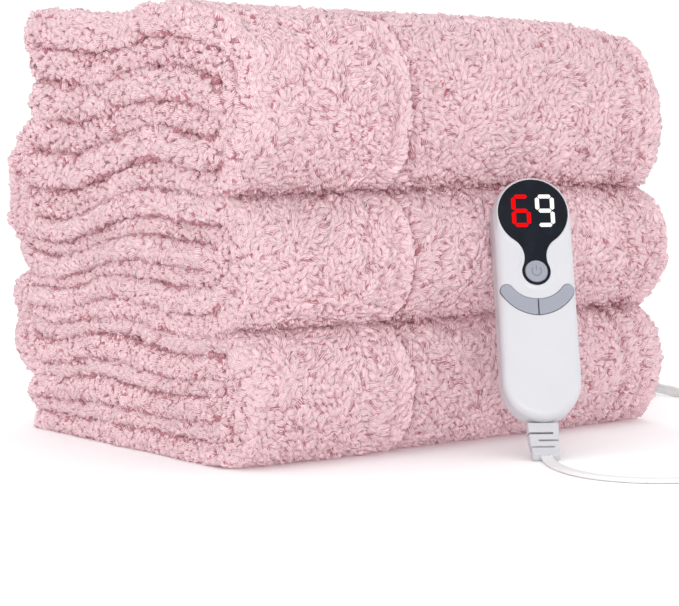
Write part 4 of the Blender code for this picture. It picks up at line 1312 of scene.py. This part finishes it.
def hand_shell(settings):
    """The two moulded halves, with the recess for the display and the wells for the keys."""
    finish = plastic_finish("white_plastic", settings.shell_colour, 0.33, 2600.0, 0.012 * MM,
                            Specular_IOR_Level=0.5)
    # Painted shade: a copy of the shell plastic at a quarter of its brightness, added to the front
    # shell for its wells.
    well_shade = plastic_finish("well_painted_shade", shade(settings.shell_colour, 0.25), 0.6, 2600.0,
                          0.02 * MM)
    front = shell_half("shell_front", FRONT_THICKNESS, -1.0, finish)
    back = shell_half("shell_back", BACK_THICKNESS, 1.0, finish)
    floor = PANEL_FACE + PANEL_THICKNESS + GAP
    cuts = [(keyhole(), floor)]
    cuts += [(smile_key(side, KEY_CLEARANCE), FACE - KEY_RISE + KEY_DEPTH + 1.2 * MM)
             for side in (-1, 1)]
    front.data.materials.append(well_shade.material)
    for number, (outline, deep) in enumerate(cuts):
        guide = prism_piece(f"guide_{number}", outline, FACE - 3 * MM, deep, finish, None)
        cut(front, guide)
    front.data.shade_smooth()
    front.data.set_sharp_from_angle(angle=math.radians(35))
    for obj, node in ((front, "controller_front"), (back, "controller_back")):
        moved(obj, posed)
        obj.data.update()
        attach(obj, BODY)
        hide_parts(node)
    display_rim(finish)
    return front


SEGMENT_HALF = 1.22 * MM  # half the thickness of a lit segment
DIGIT_HALF = (4.4 * MM, 8.8 * MM)  # from a digit's centre to the middle of its outer segments
SEGMENT_GAP = 0.46 * MM
DIGIT_RISE = 0.06 * MM
DIGITS = (("heat_digit", -6.8 * MM, "acdefg"), ("hours_digit", 7.3 * MM, "abcdfg"))
DIGIT_LIFT = 1.2 * MM  # the digits stand this far above the display's centre


def segment(name):
    """One bar of a seven-segment digit, by its usual letter: a six-sided bar with pointed ends."""
    across, up = DIGIT_HALF
    level = {"a": up, "g": 0.0, "d": -up}
    if name in level:
        centre, axis, half = (0.0, level[name]), np.array([1.0, 0.0]), across
    else:
        centre = (across if name in "bc" else -across, up / 2 if name in "bf" else -up / 2)
        axis, half = np.array([0.0, 1.0]), up / 2
    side = np.array([-axis[1], axis[0]])
    tip, shoulder = half - SEGMENT_GAP, half - SEGMENT_GAP - SEGMENT_HALF * 0.8
    corners = ((tip, 0.0), (shoulder, 1.0), (-shoulder, 1.0), (-tip, 0.0), (-shoulder, -1.0),
               (shoulder, -1.0))
    return np.array([np.array(centre) + a * axis + s * SEGMENT_HALF * side for a, s in corners])


def joined(parts):
    """Points and faces of several parts as one."""
    points, faces, start = [], [], 0
    for part_points, part_faces in parts:
        points.append(part_points)
        faces += [[start + i for i in face] for face in part_faces]
        start += len(part_points)
    return np.vstack(points), faces


def display(settings):
    """The gloss panel with its hole for the power button, and the two lit digits."""
    finish = panel_finish(settings.panel_colour)
    soft = 0.18 * MM
    loops = [raised(keyhole(-0.5 * GAP), PANEL_FACE + PANEL_THICKNESS),
             raised(keyhole(-0.5 * GAP), PANEL_FACE + soft),
             raised(keyhole(-0.5 * GAP - 0.3 * soft), PANEL_FACE + 0.3 * soft),
             raised(keyhole(-0.5 * GAP - soft), PANEL_FACE)]
    points, faces = loft(loops)
    panel = outward(mesh_piece("gloss_panel", points, faces, finish, None))
    hole = arc((0.0, POWER_HEIGHT), POWER_RADIUS + KEY_CLEARANCE, 0.0, 2 * math.pi, 72)[:-1]
    cut(panel, prism_piece("hole_guide", hole, PANEL_FACE - MM, PANEL_FACE + 2 * MM, finish, None))
    panel.data.set_sharp_from_angle(angle=math.radians(40))
    moved(panel, posed)
    panel.data.update()
    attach(panel, BODY)
    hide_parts("display_panel")
    lit = {"heat_digit": lit_finish("heat_light", settings.heat_colour, 0.95),
           "hours_digit": lit_finish("hours_light", settings.hours_colour, 1.05)}
    for name, across, bars in DIGITS:
        centre = np.array([across, DISPLAY_HEIGHT + DIGIT_LIFT])
        parts = [loft([raised(segment(bar) + centre, PANEL_FACE + 0.1 * MM),
                       raised(segment(bar) + centre, PANEL_FACE - DIGIT_RISE)]) for bar in bars]
        points, faces = joined(parts)
        outward(mesh_piece(name, posed(points), faces, lit[name], smooth=False))
    return panel


def lathe(profile, centre, steps=72):
    """Turn a profile of (radius, depth) pairs about the face's normal through a centre."""
    radius, depth = np.array(profile).T
    sweep = np.arange(steps) * 2 * math.pi / steps
    x = centre[0] + radius[:, None] * np.cos(sweep)
    z = centre[1] + radius[:, None] * np.sin(sweep)
    return np.stack([x, np.broadcast_to(depth[:, None], x.shape), z], axis=-1)


# The round key's top: how deep it is, as a share of its groove, at shares of its radius.
POWER_PROFILE = ((0.86, 0.0), (0.84, 0.5), (0.81, 1.0), (0.78, 1.0), (0.75, 0.5), (0.73, 0.0),
                 (0.5, -0.1), (0.02, -0.15))


def power_button(finish, mark):
    """The round key, with a ring groove and a raised power sign."""
    top, bottom = PANEL_FACE - KEY_RISE, PANEL_FACE - KEY_RISE + KEY_DEPTH
    soft, groove = 0.35 * MM, 0.16 * MM
    edge = POWER_RADIUS - soft
    bend = [(edge + soft * math.cos(a), top + soft * (1 - math.sin(a)))
            for a in np.linspace(0.0, math.pi / 2, 6)]
    ring = [(r * POWER_RADIUS, top + g * groove) for r, g in POWER_PROFILE]
    loops = lathe([(POWER_RADIUS, bottom)] + bend + ring, (0.0, POWER_HEIGHT))
    points, faces = loft(loops)
    button = outward(mesh_piece("power_key", posed(points), faces, finish, "power"))
    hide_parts("power_button")
    sign_radius, sign_half = 2.75 * MM, 0.34 * MM
    front, deep = top - 0.10 * MM, top + 0.2 * MM
    gap = math.radians(38)
    sweep = np.linspace(math.pi / 2 + gap, 5 * math.pi / 2 - gap, 41)
    inner, outer = (np.column_stack([radius * np.cos(sweep), POWER_HEIGHT + radius * np.sin(sweep)])
                    for radius in (sign_radius - sign_half, sign_radius + sign_half))
    bow = np.vstack([inner, outer[::-1]])
    bar = np.array([(-sign_half, 0.6 * MM), (sign_half, 0.6 * MM), (sign_half, 3.5 * MM),
                    (-sign_half, 3.5 * MM)]) + [0.0, POWER_HEIGHT]
    points, faces = joined([loft([raised(outline, deep), raised(outline, front)])
                            for outline in (bow, bar)])
    sign = outward(mesh_piece("power_sign", posed(points), faces, mark, "power", smooth=False))
    return button


def level_key(side, node, finish):
    """One arc-shaped key with a rounded edge and a shallow dish along its middle."""
    top, bottom = FACE - KEY_RISE, FACE - KEY_RISE + KEY_DEPTH
    soft = 0.45 * MM
    loops = [raised(smile_key(side), bottom)]
    for a in np.linspace(0.0, math.pi / 2, 7):
        loops.append(raised(smile_key(side, -soft * (1 - math.cos(a))), top + soft * (1 - math.sin(a))))
    loops.append(raised(smile_key(side, -soft - 0.25 * MM), top))
    points, faces = loft(loops)
    key = outward(mesh_piece(node + "_bar", posed(points), faces, finish, node.replace("key", "level")))
    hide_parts(node)
    return key


def keys(settings):
    """The power button and the two level keys, each on its own CAD body."""
    finish = plastic_finish("grey_key", settings.key_colour, 0.45, 2200.0, 0.02 * MM,
                            Specular_IOR_Level=0.45)
    mark = plastic_finish("key_mark", shade(settings.key_colour, 0.62), 0.5, 2200.0, 0.02 * MM)
    power_button(finish, mark)
    for side, node in ((-1, "left_key"), (1, "right_key")):
        level_key(side, node, finish)


# ================================================================ strain relief
def relief_bent(points):
    """Bend straight points down and forward on the relief's arc: x stays, y is across its
    thickness and -z the distance along its middle line."""
    distance = -points[:, 2]
    bent = np.clip(distance - RELIEF_STRAIGHT, 0.0, None) / RELIEF_BEND
    straight = np.minimum(distance, RELIEF_STRAIGHT)
    middle_y = -RELIEF_BEND * (1.0 - np.cos(bent))
    middle_z = -straight - RELIEF_BEND * np.sin(bent)
    return np.column_stack([points[:, 0], middle_y + points[:, 1] * np.cos(bent),
                            middle_z - points[:, 1] * np.sin(bent)])


def round_rectangle(half_width, half_height, corner, steps=6):
    """A rectangle with round corners, from its right side round."""
    points = []
    for k, (sx, sy) in enumerate(((1, 1), (-1, 1), (-1, -1), (1, -1))):
        centre = (sx * (half_width - corner), sy * (half_height - corner))
        points.append(arc(centre, corner, k * math.pi / 2, (k + 1) * math.pi / 2, steps))
    return np.vstack(points)


def strain_relief(finish):
    """A tapered bar with round edges, three slots cut into it from alternate sides, then bent."""
    loops = []
    soft = 1.5 * MM
    for distance in np.r_[GAP, np.linspace(1.0 * MM, RELIEF_LENGTH - soft, 34),
                          RELIEF_LENGTH - soft * (1 - np.sin(np.linspace(0.2, math.pi / 2, 6)))]:
        share = distance / RELIEF_LENGTH
        wide, thick = between(RELIEF_HALF_WIDTH, share), between(RELIEF_HALF_THICKNESS, share)
        from_end = min(1.0, max(0.0, distance - (RELIEF_LENGTH - soft)) / soft)
        wide -= soft * (1 - math.sqrt(1 - from_end ** 2))
        outline = round_rectangle(wide, thick, min(1.1 * MM, thick * 0.6))
        loops.append(np.column_stack([outline, np.full(len(outline), -distance)]))
    points, faces = loft(loops)
    bar = outward(mesh_piece("relief_bar", points, faces, finish, None))
    for number, (at, side, end) in enumerate(SLOTS):
        half = SLOT_WIDTH / 2
        nose = arc((0.0, 0.0), half, -math.pi / 2, math.pi / 2, 10) * [-side, 1.0]
        outline = np.vstack([nose + [end, 0.0], [[side * 0.012, half], [side * 0.012, -half]]])
        outline = np.column_stack([outline[:, 0], outline[:, 1] - at])
        points, faces = loft([raised(outline, -0.006), raised(outline, 0.006)])
        guide = outward(mesh_piece(f"slot_guide_{number}", points, faces, finish, None))
        cut(bar, guide)
    moved(bar, lambda points: posed(relief_bent(points)))
    bar.data.shade_smooth()
    bar.data.set_sharp_from_angle(angle=math.radians(35))
    bar.data.update()
    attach(bar, BODY)
    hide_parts("strain_relief")
    return bar


# ================================================================ the lead
RIBS = (-2.2 * MM, 0.0, 2.2 * MM)  # the middles of the lead's three ribs across its width
COIL_LEVELS = (5.3 * MM, 13.0 * MM)
COIL_STEPS = 24
CLIMB = math.radians(60)  # the lead climbs to the upper layer over this much turn on either side
LEAD_SPACING = 2.6 * MM


def relief_tip():
    """The middle of the strain relief's end, and the way that the lead leaves it."""
    end = np.array([[0.0, 0.0, -RELIEF_LENGTH], [0.0, 0.0, -RELIEF_LENGTH - 1.0 * MM]])
    tip, ahead = posed(relief_bent(end))
    return tip, (ahead - tip) / np.linalg.norm(ahead - tip)


def coil_line(settings):
    """The wound lead: a spiral in on the lower layer and out on the upper one. The radius falls
    by a pitch a turn and then grows again, and the height changes smoothly where they meet."""
    total = 2 * settings.turns * 2 * math.pi
    angle = np.linspace(0.0, total, 2 * settings.turns * COIL_STEPS + 1)
    outer = LEAD_ROUTE[-1][0] - COIL_CENTRE[0]
    inward = np.minimum(angle, total - angle) / (2 * math.pi)
    radius = outer - settings.pitch * inward
    height = between(COIL_LEVELS, ease(angle, total / 2 - CLIMB, total / 2 + CLIMB))
    return np.column_stack([COIL_CENTRE[0] + radius * np.cos(angle),
                            COIL_CENTRE[1] + radius * np.sin(angle), height])


def lead_line(settings):
    """The whole middle line, with the angle that the lead is turned up on its edge as a fourth
    column. It lies flat on the floor, turns up as far as its height over the floor allows on its
    way to the coil, and lies flat again in the plug."""
    tip, heading = relief_tip()
    route = np.array(LEAD_ROUTE)
    wound = coil_line(settings)
    tail = np.array(TAIL_ROUTE)
    free = ease(route[:, 0], 0.15, 0.24)
    flat = 1.0 - ease(np.arange(len(tail)), 0.0, len(tail) - 1.0)
    rows = [np.r_[tip + heading * GAP, 0.0][None], np.column_stack([route, free]),
            np.column_stack([wound, np.ones(len(wound))]), np.column_stack([tail, flat])]
    line = through(np.vstack(rows), LEAD_SPACING)
    flat_half, edge_half = CORD_THICKNESS / 2, CORD_WIDTH / 2
    room = (np.clip(line[:, 2] - FLOOR_SKIM / 2, flat_half, edge_half) ** 2 - flat_half ** 2)
    upright = np.arcsin(np.sqrt(room / (edge_half ** 2 - flat_half ** 2)))
    line[:, 3] = upright * np.clip(line[:, 3], 0.0, 1.0)
    return line


def ribbed_outline(points=16):
    """Across the lead: the outside of three circles side by side."""
    radius = CORD_THICKNESS / 2
    reach = RIBS[-1] + radius
    across = -reach * np.cos(np.linspace(0.0, math.pi, points + 1))
    tall = np.max([np.sqrt(np.clip(radius ** 2 - (across - rib) ** 2, 0.0, None))
                   for rib in RIBS], axis=0)
    upper = np.column_stack([across, tall])
    return np.vstack([upper, (upper * [1.0, -1.0])[-2:0:-1]])


def lead(settings, finish, going_with):
    """The lead as one ribbed tube: the outline carried along the line, its width level where it
    lies flat and upright where it is wound."""
    line = lead_line(settings)
    centre, turned = line[:, :3], line[:, 3:]
    ahead = unit(np.gradient(centre, axis=0))
    level = unit(np.cross([0.0, 0.0, 1.0], ahead))
    upright = np.cross(ahead, level)
    wide = np.cos(turned) * level + np.sin(turned) * upright
    thick = np.cross(ahead, wide)
    outline = ribbed_outline()
    loops = (centre[:, None] + outline[None, :, :1] * wide[:, None]
             + outline[None, :, 1:] * thick[:, None])
    points, faces = loft(loops)
    points[:, 2] = np.maximum(points[:, 2], 0.0)
    cord = outward(mesh_piece("lead_cord", points, faces, finish, sharp=60))
    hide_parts("lead", "lead_coil", "lead_tail")
    tip, _ = relief_tip()
    return cord


def lead_tie(finish):
    """A band round the coil's turns: a flat strip carried round a rectangle with round corners."""
    inner, outer = COIL_RADII
    half_wide = (outer - inner) / 2 + GAP
    half_tall = COIL_HEIGHT / 2 + GAP
    outline = round_rectangle(half_wide + TIE_THICKNESS / 2, half_tall + TIE_THICKNESS / 2, 1.6 * MM)
    outline = np.vstack([outline, outline[:1]])
    steps = np.r_[0.0, np.cumsum(np.linalg.norm(np.diff(outline, axis=0), axis=1))]
    at = np.linspace(0.0, steps[-1], 61)[:-1]
    ring = read_at(at, steps, outline)
    ahead = np.roll(ring, -1, axis=0) - np.roll(ring, 1, axis=0)
    out = unit(np.column_stack([ahead[:, 1], -ahead[:, 0]]))
    section = round_rectangle(TIE_THICKNESS / 2, TIE_WIDTH / 2, 0.3 * MM, 3)
    across = ring[:, None] + out[:, None] * section[None, :, :1]
    side = np.broadcast_to(section[None, :, 1], across.shape[:2])
    local = np.stack([(inner + outer) / 2 + across[..., 0], side,
                      COIL_BOTTOM + COIL_HEIGHT / 2 + across[..., 1]], axis=-1)
    turn = Matrix.Translation((*COIL_CENTRE, 0.0)) @ Matrix.Rotation(TIE_ANGLE, 4, "Z")
    faces = grid_quads(len(ring), len(section), closed_rows=True, closed_columns=True).tolist()
    tie = outward(mesh_piece("coil_tie", posed(local.reshape(-1, 3), turn), faces, finish))
    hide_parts("lead_tie")
    return tie


# How far the plug has widened, as a share, at distances from where the lead goes in.
PLUG_STATIONS = ((0.0, 0.0), (0.008, 0.22), (0.015, 0.80), (0.019, 1.0), (0.0285, 1.0),
                 (PLUG_LENGTH, 0.9))
PLUG_SIDES = 48
PLUG_SQUARENESS = 0.6  # 1 would make its outline an oval, and 0 a rectangle
GRIP_DEPTH = 0.45 * MM
GRIP_PITCH = 2.4 * MM


def plug(finish):
    """A moulded plug that widens from the lead to its face, with ribs for the fingers.

    Its outline at each distance is the rounded box |y/a|^(2/s) + |z/b|^(2/s) = 1, where s is its
    squareness."""
    distance = np.r_[np.linspace(0.0, 0.0285, 58), np.linspace(0.0288, PLUG_LENGTH, 4)]
    share = np.interp(distance, *np.array(PLUG_STATIONS).T)
    share = np.convolve(np.pad(share, 2, mode="edge"), np.ones(5) / 5, mode="valid")
    held = 1 - ease(distance, 0.010, 0.013)
    grip = GRIP_DEPTH * np.cos(2 * math.pi * distance / GRIP_PITCH) * ease(distance, 0.001, 0.003)
    grip = grip * held - GRIP_DEPTH * ease(distance, 0.0, 0.003) * held
    half_width = between(PLUG_HALF_WIDTH, share) + grip
    half_height = between(PLUG_HALF_HEIGHT, share) + grip
    sweep = np.arange(PLUG_SIDES) * 2 * math.pi / PLUG_SIDES
    y, z = (np.sign(wave) * np.abs(wave) ** PLUG_SQUARENESS
            for wave in (np.cos(sweep), np.sin(sweep)))
    loops = np.stack([np.broadcast_to((GAP + distance)[:, None], (len(distance), PLUG_SIDES)),
                      half_width[:, None] * y, half_height[:, None] * z], axis=-1)
    points, faces = loft(loops)
    turn = Matrix.Translation(TAIL_ROUTE[-1]) @ Matrix.Rotation(PLUG_TURN, 4, "Z")
    body = outward(mesh_piece("plug_body", posed(points, turn), faces, finish))
    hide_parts("plug")
    return body


def lead_group(settings):
    """The lead, its tie and its plug. The CAD pins stay, in brass."""
    soft = plastic_finish("lead_plastic", settings.colour, 0.42, 1800.0, 0.03 * MM)
    band = plastic_finish("tie_plastic", shade(settings.colour, 0.9), 0.65, 1400.0, 0.12 * MM,
                          Sheen_Weight=0.3)
    brass = metal_finish("pin_brass", (0.78, 0.62, 0.34))
    pins = [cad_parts[name] for name in ("pin_left", "pin_right")]
    for pin in pins:
        pin.data.materials.clear()
        pin.data.materials.append(brass.material)
    return lead(settings, soft, [plug(soft), lead_tie(band), *pins])


# ================================================================ studio
STACK_AIM = (0.0, 0.0, 0.10)
# Each lamp: its name, its place, the point that it is turned to, its side and its power in watts.
LAMPS = (
    ("key_lamp", (-1.6, -1.9, 2.1), STACK_AIM, 1.0, 1.0),
    ("top_lamp", (0.3, 0.2, 2.6), STACK_AIM, 2.4, 10.0),
    ("fill_lamp", (-1.35, -1.75, 0.14), (0.05, 0.0, 0.03), 1.2, 19.0),
    ("low_lamp", (0.9, -2.1, 0.30), (0.10, 0.0, 0.03), 1.2, 6.0),
    ("side_lamp", (-2.4, 0.2, 0.8), (0.0, 0.0, 0.08), 1.2, 9.5),
    ("back_lamp", (0.8, 2.4, 1.6), STACK_AIM, 1.6, 6.0),
)
FLOOR_REACH = 14.0


def studio_light(name, place, aim, size, power):
    """A soft square lamp at a place, turned to a point."""
    lamp = bpy.data.lights.new(name, "AREA")
    lamp.shape, lamp.size, lamp.energy = "SQUARE", size, power
    obj = linked(name, lamp)
    obj.location = place
    obj.rotation_mode = "QUATERNION"
    obj.rotation_quaternion = (Vector(aim) - Vector(place)).to_track_quat("-Z", "Y")
    return obj


def camera(settings):
    """The camera at the photograph's own angle, height and distance."""
    made = bpy.data.cameras.new("camera")
    made.sensor_width, made.lens = 36.0, settings.lens
    made.clip_start, made.clip_end = 0.05, 60.0
    obj = linked("camera", made)
    obj.location = (settings.distance * math.sin(settings.azimuth),
                    -settings.distance * math.cos(settings.azimuth), settings.height)
    obj.rotation_euler = (math.pi / 2 - settings.pitch, 0.0, settings.azimuth)
    bpy.context.scene.camera = obj
    return obj


def studio(settings):
    """A plain pale floor, an even white sky and soft lamps."""
    finish = Finish("studio_floor", Specular_IOR_Level=0.1)
    faint = finish.noise(3.0, 2.0)
    finish.feed(Base_Color=finish.blend(faint, (0.955, 0.955, 0.96), (0.965, 0.965, 0.97)),
                Roughness=faint * 0.1 + 0.75)
    corners = [(x * FLOOR_REACH, y * FLOOR_REACH, 0.0) for x, y in ((-1, -1), (1, -1), (1, 1), (-1, 1))]
    floor = mesh_piece("studio_floor", corners, [[0, 1, 2, 3]], finish, None, smooth=False)
    scene = bpy.context.scene
    world = bpy.data.worlds.new("studio_sky")
    scene.world = world
    world.use_nodes = True
    sky = world.node_tree.nodes["Background"]
    sky.inputs["Color"].default_value = (1.0, 1.0, 1.0, 1.0)
    sky.inputs["Strength"].default_value = settings.sky
    scene.view_settings.view_transform = "Standard"
    for lamp in LAMPS:
        studio_light(*lamp)


# ================================================================ the add-on
class Step(bpy.types.Operator):
    """Base of the steps: each makes its pieces, and an error stops it."""

    bl_options = {"REGISTER", "UNDO"}


class THROW_OT_camera(Step):
    """Set the camera where the photograph was taken from"""

    bl_idname = "throw.camera"
    bl_label = "Camera"

    def execute(self, context):
        camera(context.scene.studio_settings)
        return {"FINISHED"}


class THROW_OT_lead(Step):
    """Lay the lead, wind its coil, and put on its tie and plug"""

    bl_idname = "throw.lead"
    bl_label = "Lead and plug"

    def execute(self, context):
        lead_group(context.scene.lead_settings)
        return {"FINISHED"}


class THROW_OT_cloth(Step):
    """Fold the throw's cloth and cover it with curls of pile"""

    bl_idname = "throw.cloth"
    bl_label = "Cloth and pile"

    def execute(self, context):
        settings = context.scene.throw_settings
        cloth = throw_cloth(cloth_finish(settings))
        pile = throw_pile(settings, pile_finish(settings))
        return {"FINISHED"}


class THROW_OT_shell(Step):
    """Mould the hand controller's two halves and its display rim"""

    bl_idname = "throw.shell"
    bl_label = "Controller shell"

    def execute(self, context):
        hand_shell(context.scene.controller_settings)
        return {"FINISHED"}


class THROW_OT_display(Step):
    """Fit the gloss panel and its two lit digits"""

    bl_idname = "throw.display"
    bl_label = "Display"

    def execute(self, context):
        display(context.scene.controller_settings)
        return {"FINISHED"}


class THROW_OT_keys(Step):
    """Fit the power button and the two level keys"""

    bl_idname = "throw.keys"
    bl_label = "Keys"

    def execute(self, context):
        keys(context.scene.controller_settings)
        return {"FINISHED"}


class THROW_OT_relief(Step):
    """Mould the slotted strain relief"""

    bl_idname = "throw.relief"
    bl_label = "Strain relief"

    def execute(self, context):
        shell = context.scene.controller_settings.shell_colour
        strain_relief(plastic_finish("soft_plastic", shade(shell, 0.95), 0.55, 1500.0, 0.10 * MM))
        return {"FINISHED"}


class THROW_OT_studio(Step):
    """Lay the floor and set the light"""

    bl_idname = "throw.studio"
    bl_label = "Studio"

    def execute(self, context):
        studio(context.scene.studio_settings)
        return {"FINISHED"}


STEPS = (THROW_OT_camera, THROW_OT_lead, THROW_OT_cloth, THROW_OT_shell, THROW_OT_display,
         THROW_OT_keys, THROW_OT_relief, THROW_OT_studio)
GROUPS = {"throw_settings": ThrowSettings, "controller_settings": ControllerSettings,
          "lead_settings": LeadSettings, "studio_settings": StudioSettings}


class THROW_PT_panel(bpy.types.Panel):
    """The steps in order, and the settings that they read"""

    bl_label = "Heated throw"
    bl_idname = "THROW_PT_panel"
    bl_space_type = "VIEW_3D"
    bl_region_type = "UI"
    bl_category = "Throw"

    def draw(self, context):
        for step in STEPS:
            self.layout.operator(step.bl_idname)
        for name, group in GROUPS.items():
            box = self.layout.box()
            for setting in group.__annotations__:
                box.prop(getattr(context.scene, name), setting)


def register():
    for group in GROUPS.values():
        bpy.utils.register_class(group)
    for name, group in GROUPS.items():
        setattr(bpy.types.Scene, name, PointerProperty(type=group))
    for step in STEPS:
        bpy.utils.register_class(step)
    bpy.utils.register_class(THROW_PT_panel)


def unregister():
    bpy.utils.unregister_class(THROW_PT_panel)
    for step in reversed(STEPS):
        bpy.utils.unregister_class(step)
    for name in GROUPS:
        delattr(bpy.types.Scene, name)
    for group in GROUPS.values():
        bpy.utils.unregister_class(group)


def main():
    """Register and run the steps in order."""
    register()
    for step in STEPS:
        group, name = step.bl_idname.split(".")
        getattr(getattr(bpy.ops, group), name)()


if __name__ == "__main__":
    main()
